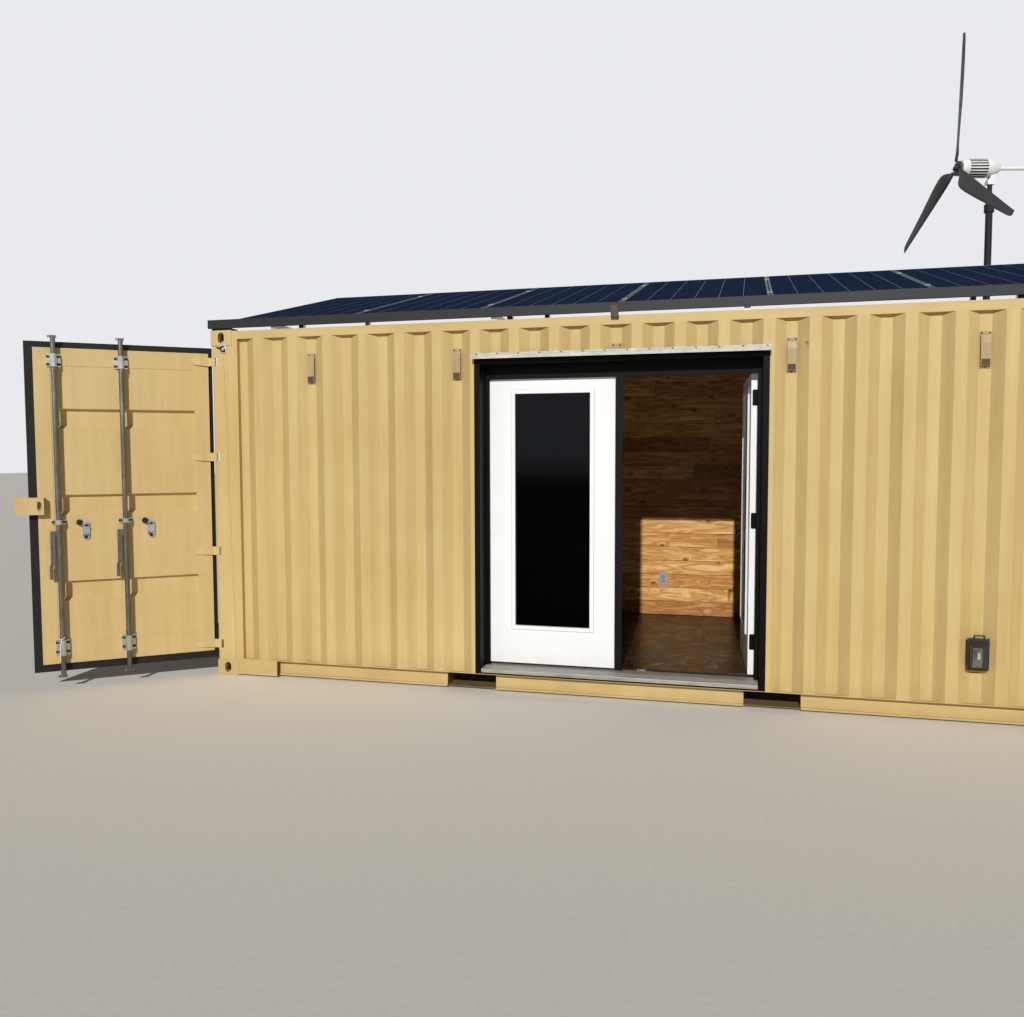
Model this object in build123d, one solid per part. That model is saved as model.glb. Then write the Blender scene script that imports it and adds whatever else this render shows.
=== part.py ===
from build123d import *
from math import cos, sin, radians, tan
import os

# Shipping container cabin: a 20 ft freight container with glazed double doors cut into
# one long side, a boarded room inside, a roof of solar panels and a small wind turbine.
# Drawn about the container's ground centre: X along the length, door end at -X,
# the doorway side at -Y, +Z up. FOOT moves the origin to a corner foot on saving.
# A size that ends in _IN is measured inwards from the container's outer size.

# Shell
LENGTH = 6058.0
WIDTH = 2438.0
HEIGHT = 2591.0
HALF_L, HALF_W = LENGTH / 2, WIDTH / 2
CAST_L, CAST_W, CAST_H = 178.0, 162.0, 118.0
CAST_WALL = 26.0
CAST_EDGE = 5.0
CAST_SIDE_SLOT = (51.0, 80.0)
CAST_FLAT_SLOT = (124.0, 63.5)
CREST_IN = 6.0
CREST_Y = HALF_W - CREST_IN
SHEET = 2.0
FOOT_INSET = 24.0
FOOT = (HALF_L - FOOT_INSET, HALF_W - FOOT_INSET, 0.0)

# Wall corrugation: pitch, width of the recessed flat, width of one slope, depth
SIDE_WAVE = (278.0, 70.0, 68.0, 36.0)
END_WAVE = (250.0, 70.0, 55.0, 45.0)
ROOF_WAVE = (209.0, 96.0, 22.0, 20.0)
ROOF_CROWN = 4.0

# Rails: the bottom one is a channel that opens outwards, with a lip along its foot
RAIL_LOW = 12.0
RAIL_TOP = 130.0
RAIL_DEPTH = 60.0
RAIL_WEB = 5.0
RAIL_LIP = (19.0, 13.0)
RAIL_END = (320.0, 3.0)
UPSTAND_IN = 43.0
UPSTAND_H = 35.0
TOP_RAIL = 60.0
TOP_RAIL_IN = 10.0
TOP_RAIL_Z = HEIGHT - TOP_RAIL_IN
RAIL_BOTTOM = TOP_RAIL_Z - TOP_RAIL

# Posts: depth along the container, width, and the rebate that takes the cargo leaves
POST_L, POST_W = 219.0, 49.0
POST_INNER_X = HALF_L - POST_L
POST_OPEN_Y = HALF_W - POST_W
POST_END_IN = 54.0
POST_END_Y = HALF_W - 162.0
END_BEND = 13.0
POST_TOE = (18.0, 9.0)
POST_TOE_X = HALF_L - 7.0
REBATE_X = HALF_L - 111.0
REBATE_Y = HALF_W - 22.0
NOTCH_X = HALF_L - 51.0

# Beams of the two ends
SILL_IN, SILL_STEP_IN, SILL_BACK_IN = 44.0, 109.0, 169.0
SILL_RISE = 44.0
HEADER_DROP = 43.0
END_BEAM = 60.0

# Floor and fork pockets
FLOOR_TOP = 180.0
FLOOR_BOARD = 28.0
FLOOR_PLAY = 1.0
JOIST = (122.0, 45.0, 4.0)
JOIST_PITCH = 330.0
POCKET_X = 1025.0
POCKET_W = 360.0
POCKET_PLATE = 6.0
POCKET_STRAP = 200.0

# Room lining
LINING = 19.0
BACK_LINING_Y = HALF_W - 88.0
FRONT_LINING_Y = HALF_W - 188.0
END_LINING_X = HALF_L - 79.0
DOOR_END_LINING_X = HALF_L - 189.0
LINING_TOP = HEIGHT - 151.0
ROOM_OUTLET = (112.0, 511.0)
OUTDOOR_OUTLET_Z = 352.0

# Side doorway
DOORWAY_HALF = 980.0
DOORWAY_TOP = HEIGHT - 265.0
FRAME_TUBE = 40.0
FRAME_DEPTH = 100.0
FRAME_FACE_Y = -(HALF_W - 3.0)
FRAME_SILL_T = 22.0
JAMB_T = 18.0
REVEAL_T = 6.0
STOP_W, STOP_T = 12.0, 18.0
STOP_GAP = 6.0
JAMB_OUT_Y = FRAME_FACE_Y + 84.0
JAMB_IN_Y = FRAME_FACE_Y + 200.0
HEAD_DEPTH = 125.0
LEAF_HEAD_Z = DOORWAY_TOP - HEAD_DEPTH
THRESHOLD_T = 16.0
THRESHOLD_SKIRT = (10.0, 9.0)
TREAD_GROOVE = (8.0, 2.0)
DRIP_OUT, DRIP_LIP = 60.0, 24.0
VENT_HALF = 34.0
VENT_CLEAR = 6.0
DOOR_BAY = int((DOORWAY_HALF + VENT_HALF + VENT_CLEAR) // SIDE_WAVE[0]) + 1
OUTER_BAY = int(POST_INNER_X / SIDE_WAVE[0] - 2)
VENT_TOP = HEIGHT - 191.0
VENT_H = 223.0

# Glazed leaves
SLAB_EDGE_GAP = 7.0
SLAB_W = DOORWAY_HALF - FRAME_TUBE - JAMB_T - 2 * SLAB_EDGE_GAP
SLAB_T = 44.0
SLAB_LOW = FLOOR_TOP + 6.0
SLAB_H = LEAF_HEAD_Z - STOP_GAP - SLAB_LOW
SLAB_FACE_Y = FRAME_FACE_Y + 156.0
GLASS_SIDE, GLASS_BELOW, GLASS_ABOVE = 188.5, 270.0, 107.0
GLASS_W = SLAB_W - 2 * GLASS_SIDE
GLASS_H = SLAB_H - GLASS_BELOW - GLASS_ABOVE
GLASS_LOW = SLAB_LOW + GLASS_BELOW
LITE_BORDER = 33.0
LITE_PROUD = 12.0
LITE_LAP = 14.0
PANE_T = 20.0
PANE_LAP = 8.0
LEAF_PIN_OUT = 3.5
LEAF_PIN_Y = 6.0
RIGHT_LEAF_OPEN = 86.5
BUTT_H = 106.0
BUTT_ENDS = (221.0, 158.0)
LEVER_Z = 1085.0
LEVER_BACKSET = 60.0
DEADBOLT_UP = 150.0
ASTRAGAL_LAP = (21.0, 29.0)

# Cargo leaves at the door end
PIN_X = -(HALF_L - 19.0)
PIN_Y = HALF_W - 16.0
LEAF_FACE_X = -(HALF_L - 54.0)
LEAF_T = 50.0
LEAF_HINGE_Y = HALF_W - 56.0
LEAF_LOW, LEAF_HIGH = FLOOR_TOP, HEIGHT - 171.0
NEAR_FREE_Y, FAR_FREE_Y = 0.0, 82.0
SEAL_T, SEAL_LIP_T = 24.0, 8.0
SEAL_BEAD = 16.0
SEAL_HINGE, SEAL_BELOW, SEAL_ABOVE = 29.0, 56.0, 43.0
NEAR_SEAL_Y, FAR_SEAL_Y = 56.0, 64.0
CARGO_OPEN = 129.0
CARGO_SHEET = 3.0
SHEET_IN = 3.0
HINGE_MEMBER, FREE_MEMBER = 104.0, 130.0
TOP_MEMBER, BOTTOM_MEMBER = 125.0, 160.0
SWAGE_DEPTH = 34.0
SWAGE_H = 122.0
SWAGE_SLOPES = (14.0, 8.0)
SWAGE_AT = (0.185, 0.5, 0.812)

# Hinges of the cargo leaves
BLADE_H, BLADE_TIP_H = 62.0, 46.0
BLADE_ENDS = (55.0, 62.0)
BLADE_LAP = 125.0
LUG_T = 12.0
LUG_GAP = 1.5
LUG_PROUD = 2.0
KNUCKLE_R = 14.0
HINGE_PIN_R = 8.0
PIN_PLAY = 0.3

# Locking gear: rods at these distances in from a leaf's free edge
ROD_R = 17.0
ROD_IN = (130.0, 563.0)
ROD_LOW, ROD_HIGH = FLOOR_TOP - 76.0, HEIGHT - 105.0
CAM_T = 16.0
CAM_LONG, CAM_SHORT = 34.0, 24.0
CAM_W = 22.0
KEEPER_T = 8.0
KEEPER_CLEAR = 6.0
KEEPER_SET = (6.0, 30.0)
ROD_PLAY = 1.0
GUIDE_T = 8.0
GUIDE_Z = (LEAF_LOW + 120.0, LEAF_LOW + 1015.0, LEAF_HIGH - 90.0)
GUIDE_H = (110.0, 32.0, 90.0)
HUB_Z = (LEAF_LOW + 912.0, LEAF_LOW + 952.0)
HANDLE_ARM = 42.0
HANDLE_DROP = (187.0, 302.0)
HANDLE_BAR, HANDLE_BLADE, HANDLE_T = 30.0, 22.0, 10.0
CATCH_SIZE = (34.0, 76.0)
CATCH_OFF = 172.0
LOCK_BOX_Z = (LEAF_LOW + 1072.0, LEAF_LOW + 1192.0)
LOCK_BOX_Y = (-42.0, 143.0)
LOCK_BOX_DEPTH = 52.0
LOCK_BOX_T = 4.0
LOCK_BOX_CLEAR = 8.0

# Solar array
PANEL_W, PANEL_L, PANEL_T = 976.0, 1956.0, 40.0
PANEL_GAP = 5.0
PANEL_COUNT = int(LENGTH // (PANEL_W + PANEL_GAP))
ARRAY_HALF = (PANEL_W + PANEL_GAP) * PANEL_COUNT / 2
PANEL_LIP = 12.0
PANEL_GLASS_T = 6.0
ARRAY_TILT = 14.34
ARRAY_FRONT_Y = -(HALF_W - 89.0)
ARRAY_FRONT_Z = HEIGHT + 75.0
FASCIA_T, FASCIA_H = 25.0, 62.0
FASCIA_FACE_Y = -(HALF_W + 21.0)
FASCIA_LOW = HEIGHT + 9.0
FASCIA_HALF = HALF_L + 6.0
FASCIA_FOOT = (150.0, 110.0, 12.0)
RACK_TUBE = 40.0
RACK_BEAMS = 4
RACK_IN = 435.0
PURLIN = (40.0, 40.0)
PURLIN_IN = 330.0

# Wind turbine
MAST_X, MAST_Y = HALF_L - 202.0, HALF_W + 241.0
MAST_R = 28.5
MAST_LOW = 60.0
HUB_HEIGHT = 4095.0
MAST_TOP = HUB_HEIGHT - 268.0
MAST_ARM_Z = (70.0, 1300.0, HEIGHT - 51.0)
MAST_CLAMP = (370.0, 305.0)
SPIGOT_R = 19.5
NOSE_TURN = 194.7
ROTOR_OFFSET = 287.0
ROTOR_R = 1101.0
ROTOR_TURN = 4.2
YAW_PLAY = 0.5
NACELLE_R = 77.0
NACELLE_NOSE = (30.0, 62.0)
NACELLE_SHOULDER, NACELLE_BACK, NACELLE_END = 60.0, 250.0, 365.0
NACELLE_END_R = 26.0
NACELLE_SLOTS = 20
NACELLE_SLOT = (146.0, 12.0, 8.0)
SLOT_START = 95.0
NECK = (62.0, 58.0, 139.0)
SHAFT_R = 12.0
HUB_R, HUB_T = 62.0, 14.0
TAIL_R = 16.5
TAIL_REACH = 700.0
# Section of a blade, as shares of its chord from the leading edge and of its thickness
FOIL = ((0.0, 0.0), (0.08, 0.38), (0.3, 0.5), (0.65, 0.36), (1.0, 0.04), (0.65, -0.3),
        (0.3, -0.45), (0.08, -0.34))
# Blade stations: distance from the shaft, chord, thickness, twist
BLADE_STATIONS = (
    (84.0, 54.0, 13.0, 0.0), (150.0, 100.0, 13.0, 16.0), (240.0, 124.0, 12.0, 18.0),
    (640.0, 96.0, 9.0, 9.0), (1000.0, 66.0, 6.0, 4.0), (ROTOR_R - 14, 50.0, 5.0, 3.0),
    (ROTOR_R, 24.0, 3.0, 3.0),
)


def block(x0, x1, y0, y1, z0, z1):
    """Box between two corners."""
    size = Box(abs(x1 - x0), abs(y1 - y0), abs(z1 - z0))
    return Pos((x0 + x1) / 2, (y0 + y1) / 2, (z0 + z1) / 2) * size


def prism(points, along):
    """Flat closed outline swept in a straight line."""
    return Solid.extrude(Face(Wire.make_polygon(points, close=True)), Vector(*along))


def plan(points, z0, z1):
    """Outline in X and Y, raised from z0 to z1."""
    return prism([(x, y, z0) for x, y in points], (0, 0, z1 - z0))


def rod(start, end, radius):
    """Round bar between two points."""
    line = Vector(*end) - Vector(*start)
    return Solid.make_cylinder(radius, line.length, Plane(origin=start, z_dir=line))


def stadium(centre, normal, width, height, reach):
    """Plate or cutter with round ends; height is its longer side."""
    plane = Plane(origin=centre, x_dir=(0, 0, 1) if normal != "z" else (1, 0, 0),
                  z_dir={"x": (1, 0, 0), "y": (0, 1, 0), "z": (0, 0, 1)}[normal])
    return extrude(plane * SlotOverall(height, width), amount=reach / 2, both=True)


def save(name, parts):
    """Write one node, moved so that the origin is at the corner foot."""
    parts = parts if isinstance(parts, list) else [parts]
    solids = [solid for part in parts for solid in part.solids()]
    moved = [Pos(*FOOT) * solid for solid in solids]
    shape = moved[0] if len(moved) == 1 else Compound(children=moved)
    shape.label = name
    export_step(shape, os.path.join("parts", name + ".step"))


def mirror_y(parts):
    return [part.mirror(Plane.XZ) for part in parts]


def spread(first, last, count):
    """Evenly spaced values, both ends included."""
    return [first + (last - first) * k / (count - 1) for k in range(count)]


def wave_points(wave, start, end):
    """Break points (along, depth) of a trapezoid wave with a recess at every pitch."""
    pitch, flat, slope, depth = wave
    knots = []
    first = int(start // pitch) - 1
    last = int(end // pitch) + 2
    for k in range(first, last):
        centre = k * pitch
        knots += [
            (centre - flat / 2 - slope, 0.0),
            (centre - flat / 2, depth),
            (centre + flat / 2, depth),
            (centre + flat / 2 + slope, 0.0),
        ]

    def depth_at(position):
        for (a, da), (b, db) in zip(knots, knots[1:]):
            if a <= position <= b:
                return da + (db - da) * (position - a) / (b - a)
        return 0.0

    inside = [knot for knot in knots if start < knot[0] < end]
    return [(start, depth_at(start))] + inside + [(end, depth_at(end))]


def corrugated_wall(wave, start, end, face, z0, z1, along_x=True):
    """Folded sheet wall. face is its signed outer plane; the wave goes inwards."""
    side = 1 if face > 0 else -1
    points = wave_points(wave, start, end)
    outer = [(s, face - side * d) for s, d in points]
    inner = [(s, face - side * (d + SHEET)) for s, d in reversed(points)]
    outline = outer + inner
    if not along_x:
        outline = [(y, x) for x, y in outline]
    return plan(outline, z0, z1)


# Frame of the container

def casting(side_x, side_y, low):
    """Hollow steel corner casting with a slot in each of its three outer faces."""
    x_out, x_in = side_x * HALF_L, side_x * (HALF_L - CAST_L)
    y_out, y_in = side_y * HALF_W, side_y * (HALF_W - CAST_W)
    body = block(x_out, x_in, y_out, y_in, low, low + CAST_H)
    body = chamfer(body.edges(), CAST_EDGE)
    thin = CAST_WALL / 2
    hollow = block(
        x_out - side_x * CAST_WALL, x_in + side_x * thin,
        y_out - side_y * CAST_WALL, y_in + side_y * thin,
        low + CAST_WALL, low + CAST_H - CAST_WALL,
    )
    mid_x, mid_y = (x_out + x_in) / 2, (y_out + y_in) / 2
    mid_z = low + CAST_H / 2
    flat_z = low if low < HEIGHT / 2 else low + CAST_H
    width, height = CAST_SIDE_SLOT
    reach = 2.2 * CAST_WALL
    body -= hollow
    body -= stadium((mid_x, y_out, mid_z), "y", width, height, reach)
    body -= stadium((x_out, mid_y, mid_z), "x", width, height, reach)
    body -= stadium((mid_x, mid_y, flat_z), "z", CAST_FLAT_SLOT[1], CAST_FLAT_SLOT[0], reach)
    return body


def castings(low):
    return [casting(sx, sy, low) for sx in (-1, 1) for sy in (-1, 1)]


def bottom_side_rail(upstands):
    """Channel under the long wall, open outwards, notched over the two fork pockets."""
    out = -CREST_Y
    back = out + RAIL_DEPTH
    half = HALF_L - CAST_L
    lip_depth, lip_high = RAIL_LIP
    web = RAIL_WEB
    section = [
        (out, RAIL_TOP), (back, RAIL_TOP), (back, RAIL_LOW), (back - lip_depth, RAIL_LOW),
        (back - lip_depth, RAIL_LOW + lip_high), (back - web, RAIL_LOW + lip_high),
        (back - web, RAIL_TOP - web), (out, RAIL_TOP - web),
    ]
    rail = prism([(-half, y, z) for y, z in section], (2 * half, 0, 0))
    rail = rail.fuse(*rail_ends(out, back, half))
    for x0, x1 in upstands:
        rail = rail.fuse(block(x0, x1, out + UPSTAND_IN, out + UPSTAND_IN + web, RAIL_TOP,
                               RAIL_TOP + UPSTAND_H))
    for x in (-POCKET_X, POCKET_X):
        rail -= block(x - POCKET_W / 2, x + POCKET_W / 2, out - web, back + web, RAIL_LOW - web,
                      RAIL_TOP - web)
    return rail


def rail_ends(out, back, half):
    """Plates that close the channel next to the castings, with a foot under them."""
    length, proud = RAIL_END
    parts = []
    for side in (-1, 1):
        x0, x1 = side * half, side * (half - length)
        parts.append(block(x0, x1, out - proud, out + RAIL_WEB, RAIL_LOW, RAIL_TOP))
        parts.append(block(x0, x1, out, back, RAIL_LOW, RAIL_LOW + RAIL_WEB))
    return parts


def fork_pocket(x):
    """Tunnel across the underside that takes a lift truck's fork."""
    inner = POCKET_W / 2
    outer = inner + POCKET_PLATE
    reach = CREST_Y - RAIL_DEPTH
    roof = RAIL_TOP - RAIL_WEB
    shell = block(x - outer, x + outer, -reach, reach, RAIL_LOW, roof)
    tunnel = block(
        x - inner, x + inner, -reach - 1, reach + 1, RAIL_LOW - 1, roof - POCKET_PLATE
    )
    plates = [
        block(x - outer, x + outer, y, y + POCKET_STRAP, RAIL_LOW, RAIL_LOW + POCKET_PLATE)
        for y in (-reach, reach - POCKET_STRAP)
    ]
    return (shell - tunnel).fuse(*plates)


def joists():
    """Pressed channels that carry the floor, notched under the doorway."""
    height, flange, wall = JOIST
    top = FLOOR_TOP - FLOOR_BOARD
    low = top - height
    reach = CREST_Y - RAIL_DEPTH
    doorway = block(-DOORWAY_HALF, DOORWAY_HALF, -reach - 1, FRAME_FACE_Y + FRAME_DEPTH,
                    RAIL_TOP, top + 1)
    parts = []
    count = int(2 * POST_INNER_X / JOIST_PITCH)
    for k in range(count + 1):
        x = (k - count / 2) * JOIST_PITCH
        if abs(abs(x) - POCKET_X) < POCKET_W / 2 + POCKET_PLATE + flange:
            continue
        section = [
            (x, low), (x + flange, low), (x + flange, low + wall), (x + wall, low + wall),
            (x + wall, top - wall), (x + flange, top - wall), (x + flange, top), (x, top),
        ]
        parts.append(prism([(sx, -reach, sz) for sx, sz in section], (0, 2 * reach, 0)) - doorway)
    return parts


def door_sill():
    """Threshold beam between the corner castings, stepped behind the cargo leaves."""
    reach = HALF_W - CAST_W
    back = -(HALF_L - SILL_BACK_IN)
    lower = block(-(HALF_L - SILL_IN), back, -reach, reach, RAIL_LOW, CAST_H)
    upper = block(-(HALF_L - SILL_STEP_IN), back, -POST_OPEN_Y, POST_OPEN_Y, CAST_H,
                  CAST_H + SILL_RISE)
    return lower.fuse(upper)


def door_header():
    """Beam over the cargo leaves, stepped behind their top seal."""
    reach = HALF_W - CAST_W
    low = HEIGHT - CAST_H
    back = -(HALF_L - CAST_L)
    upper = block(-(HALF_L - SILL_IN), back, -reach, reach, low, TOP_RAIL_Z)
    lower = block(-(HALF_L - SILL_STEP_IN), back, -POST_OPEN_Y, POST_OPEN_Y,
                  low - HEADER_DROP, low)
    return upper.fuse(lower)


def blade_heights():
    """Heights of the four hinges of a cargo leaf."""
    return spread(LEAF_LOW + BLADE_ENDS[0], LEAF_HIGH - BLADE_ENDS[1], 4)


def door_end_post():
    """Post with a strip in front of its rebate, notched where the hinges turn."""
    toe_x, toe_y = POST_TOE
    outline = [
        (-POST_INNER_X, -CREST_Y), (toe_x - POST_TOE_X, -CREST_Y),
        (-POST_TOE_X, toe_y - CREST_Y), (-POST_TOE_X, -REBATE_Y), (-REBATE_X, -REBATE_Y),
        (-REBATE_X, -POST_OPEN_Y), (-POST_INNER_X, -POST_OPEN_Y),
    ]
    post = plan(outline, CAST_H, HEIGHT - CAST_H).fuse(post_ear(-1))
    reach = BLADE_H / 2 + LUG_GAP + LUG_T
    for z in blade_heights():
        post -= block(-HALF_L, -NOTCH_X, -HALF_W, 1 - REBATE_Y, z - reach, z + reach)
    return post - rail_notch(-1)


def post_ear(side):
    """Tab at the post's head that closes the gap between casting and top rail."""
    return block(side * POST_INNER_X, side * (HALF_L - CAST_L), -CREST_Y, -POST_OPEN_Y,
                 HEIGHT - CAST_H, RAIL_BOTTOM)


def rail_notch(side):
    """Room for the end of the bottom side rail, which a post overhangs at its foot."""
    x0, x1 = side * POST_INNER_X, side * (HALF_L - CAST_L)
    return block(x0, x1, -HALF_W, -POST_END_Y, CAST_H, RAIL_TOP)


def blind_end_post():
    """Post folded round the corner, as wide as the casting on the end."""
    end_x = HALF_L - CREST_IN
    outline = [
        (POST_INNER_X, -CREST_Y), (end_x - END_BEND, -CREST_Y), (end_x, END_BEND - CREST_Y),
        (end_x, -POST_END_Y), (HALF_L - POST_END_IN, -POST_END_Y),
        (HALF_L - POST_END_IN, -POST_OPEN_Y), (POST_INNER_X, -POST_OPEN_Y),
    ]
    return plan(outline, CAST_H, HEIGHT - CAST_H).fuse(post_ear(1)) - rail_notch(1)


def container_frame():
    save("corner_castings_bottom", castings(0.0))
    save("corner_castings_top", castings(HEIGHT - CAST_H))
    ends = ((-POST_INNER_X, -DOORWAY_HALF), (DOORWAY_HALF, POST_INNER_X))
    whole = ((-POST_INNER_X, POST_INNER_X),)
    save("bottom_side_rails", [bottom_side_rail(ends)] + mirror_y([bottom_side_rail(whole)]))
    save("fork_pockets", [fork_pocket(-POCKET_X), fork_pocket(POCKET_X)])
    save("floor_joists", joists())
    posts = [door_end_post(), blind_end_post()]
    save("corner_posts", posts + mirror_y(posts))
    half = HALF_L - CAST_L
    rail = block(-half, half, -CREST_Y, -CREST_Y + TOP_RAIL, RAIL_BOTTOM, TOP_RAIL_Z)
    save("top_side_rails", [rail] + mirror_y([rail]))
    reach = HALF_W - CAST_W
    end_x = HALF_L - CREST_IN
    beams = [
        block(end_x - END_BEAM, end_x, -reach, reach, low, high)
        for low, high in ((RAIL_LOW, RAIL_TOP), (RAIL_BOTTOM, TOP_RAIL_Z))
    ]
    save("end_beams", [door_sill(), door_header()] + beams)
    edge = CREST_Y - UPSTAND_IN - RAIL_WEB - FLOOR_PLAY
    low = FLOOR_TOP - FLOOR_BOARD
    floor = block(-(HALF_L - SILL_BACK_IN), END_LINING_X + LINING / 2, -edge, edge, low, FLOOR_TOP)
    half = DOORWAY_HALF
    save("floor", floor - block(-half, half, -edge - 1, JAMB_IN_Y, low - 1, FLOOR_TOP + 1))


# Walls and roof

def walls():
    start = POST_INNER_X
    front = dict(face=-CREST_Y, z1=RAIL_BOTTOM)
    save("front_wall_left",
         corrugated_wall(SIDE_WAVE, -start, -DOORWAY_HALF, z0=RAIL_TOP, **front))
    save("front_wall_right",
         corrugated_wall(SIDE_WAVE, DOORWAY_HALF, start, z0=RAIL_TOP, **front))
    save("front_wall_over_door",
         corrugated_wall(SIDE_WAVE, -DOORWAY_HALF, DOORWAY_HALF, z0=DOORWAY_TOP, **front))
    save("back_wall",
         corrugated_wall(SIDE_WAVE, -start, start, CREST_Y, RAIL_TOP, RAIL_BOTTOM))
    save("end_wall",
         corrugated_wall(END_WAVE, -POST_END_Y, POST_END_Y, HALF_L - CREST_IN, RAIL_TOP,
                         RAIL_BOTTOM, along_x=False))


def roof():
    """Pressed roof sheet with corrugations across the container."""
    reach = CREST_Y - TOP_RAIL
    inner_end = HALF_L - CREST_IN - END_BEAM
    points = wave_points(ROOF_WAVE, -(HALF_L - CAST_L), inner_end)
    crest = TOP_RAIL_Z + ROOF_CROWN
    top = [(x, -reach, crest - depth) for x, depth in points]
    under = [(x, -reach, crest - depth - SHEET) for x, depth in reversed(points)]
    sheet = prism(top + under, (0, 2 * reach, 0))
    edge = HALF_L - CAST_L - 1
    inner = HALF_W - CAST_W - 1
    for side in (-1, 1):
        sheet -= block(edge, HALF_L, side * inner, side * WIDTH, RAIL_BOTTOM, HEIGHT)
    save("roof_sheet", sheet)


def vent(x, low):
    """Raised cover with an open bottom, on a plate in the recessed flat, down to low."""
    recess = -CREST_Y + SIDE_WAVE[3]
    foot = VENT_TOP - VENT_H
    half, inset = VENT_HALF, VENT_HALF - 6
    plate = block(x - half, x + half, recess - 3, recess, foot, VENT_TOP)
    front = [(recess - 3, VENT_TOP - 15), (recess - 14, VENT_TOP - 23),
             (recess - 20, VENT_TOP - 70), (recess - 20, foot + 14)]
    back = [(recess - 17, foot + 14), (recess - 17, VENT_TOP - 72),
            (recess - 12, VENT_TOP - 28), (recess - 3, VENT_TOP - 21)]
    cover = prism([(x - inset, y, z) for y, z in front + back], (2 * inset, 0, 0))
    cheeks = [
        prism([(cx, y, z) for y, z in front + [(recess - 3, foot + 14)]], (3, 0, 0))
        for cx in (x - inset, x + inset - 3)
    ]
    whole = plate.fuse(cover, *cheeks)
    return whole - block(x - half - 1, x + half + 1, recess - 30, recess + 1, foot - 1, low)


def vents():
    foot = VENT_TOP - VENT_H
    pitch = SIDE_WAVE[0]
    xs = [side * bay * pitch for side in (-1, 1) for bay in (DOOR_BAY, OUTER_BAY)]
    front = [vent(x, foot) for x in xs] + [vent(0.0, DOORWAY_TOP + DRIP_LIP + 14)]
    save("wall_vents", front + mirror_y([vent(x, foot) for x in xs + [0.0]]))


# Doorway in the long side

def doorway():
    half, tube = DOORWAY_HALF, FRAME_TUBE
    y0, y1 = FRAME_FACE_Y, FRAME_FACE_Y + FRAME_DEPTH
    base = RAIL_TOP + FRAME_SILL_T
    outer = block(-half, half, y0, y1, RAIL_TOP, DOORWAY_TOP)
    inner = block(-half + tube, half - tube, y0 - 1, y1 + 1, base, DOORWAY_TOP - tube)
    save("doorway_frame", outer - inner)
    out, lip = DRIP_OUT, DRIP_LIP
    cap = [(0, 34), (2, 34), (2, lip), (out, lip - 10), (out, -10), (out - 2, -10),
           (out - 2, lip - 12), (0, lip - 2)]
    outline = [(-half - 10, -CREST_Y - far, DOORWAY_TOP + up) for far, up in cap]
    save("drip_cap", prism(outline, (2 * half + 20, 0, 0)))
    save("door_jambs", jambs(half - tube, base))
    save("threshold", threshold(half - tube, base))


def jambs(half, base):
    """Reveal boards with a rebated stop, on both sides and across the head."""
    clear = half - JAMB_T
    stop_in = SLAB_FACE_Y - STOP_GAP
    stop_out = stop_in - STOP_T
    sides = [
        plan([(side * half, JAMB_OUT_Y), (side * (half - REVEAL_T), JAMB_OUT_Y),
              (side * (half - REVEAL_T), stop_out), (side * (clear - STOP_W), stop_out),
              (side * (clear - STOP_W), stop_in), (side * clear, stop_in),
              (side * clear, JAMB_IN_Y), (side * half, JAMB_IN_Y)], base, LEAF_HEAD_Z)
        for side in (-1, 1)
    ]
    top = DOORWAY_TOP - FRAME_TUBE
    section = [
        (JAMB_OUT_Y, top), (JAMB_OUT_Y, top - REVEAL_T), (stop_out, top - REVEAL_T),
        (stop_out, LEAF_HEAD_Z - STOP_W), (stop_in, LEAF_HEAD_Z - STOP_W),
        (stop_in, LEAF_HEAD_Z), (JAMB_IN_Y, LEAF_HEAD_Z), (JAMB_IN_Y, top),
    ]
    head = prism([(-half, y, z) for y, z in section], (2 * half, 0, 0))
    reveals = [
        block(side * half, side * (half - REVEAL_T), JAMB_OUT_Y, stop_out, LEAF_HEAD_Z,
              top - REVEAL_T / 2)
        for side in (-1, 1)
    ]
    return head.fuse(*sides, *reveals)


def threshold(half, base):
    """Ribbed tread with a skirt over the frame's sill."""
    top = base + THRESHOLD_T
    skirt_t, skirt_drop = THRESHOLD_SKIRT
    section = [
        (FRAME_FACE_Y, base), (FRAME_FACE_Y, base - skirt_drop),
        (FRAME_FACE_Y - skirt_t, base - skirt_drop), (FRAME_FACE_Y - skirt_t, top - 6),
        (FRAME_FACE_Y - skirt_t + 4, top), (JAMB_IN_Y, top), (JAMB_IN_Y, base),
    ]
    width = half - REVEAL_T
    tread = prism([(-width, y, z) for y, z in section], (2 * width, 0, 0))
    stop_out = SLAB_FACE_Y - STOP_GAP - STOP_T
    inset = half - JAMB_T - STOP_W
    for side in (-1, 1):
        tread -= block(side * inset, side * half, stop_out, JAMB_IN_Y + 1, base - 1, top + 1)
    wide, deep = TREAD_GROOVE
    for y in spread(FRAME_FACE_Y + 16, FRAME_FACE_Y + 96, 5):
        tread -= block(-width - 1, width + 1, y, y + wide, top - deep, top + 1)
    return tread


# Glazed leaves, drawn closed and then turned about their pins

def leaf_slab(side):
    """side is -1 for the left leaf and 1 for the right one."""
    near, far = side * SLAB_EDGE_GAP, side * (SLAB_EDGE_GAP + SLAB_W)
    back = SLAB_FACE_Y + SLAB_T
    slab = block(near, far, SLAB_FACE_Y, back, SLAB_LOW, SLAB_LOW + SLAB_H)
    mid = (near + far) / 2
    half = GLASS_W / 2 + LITE_LAP
    low, high = GLASS_LOW - LITE_LAP, GLASS_LOW + GLASS_H + LITE_LAP
    return slab - block(mid - half, mid + half, SLAB_FACE_Y - 1, back + 1, low, high)


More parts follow.
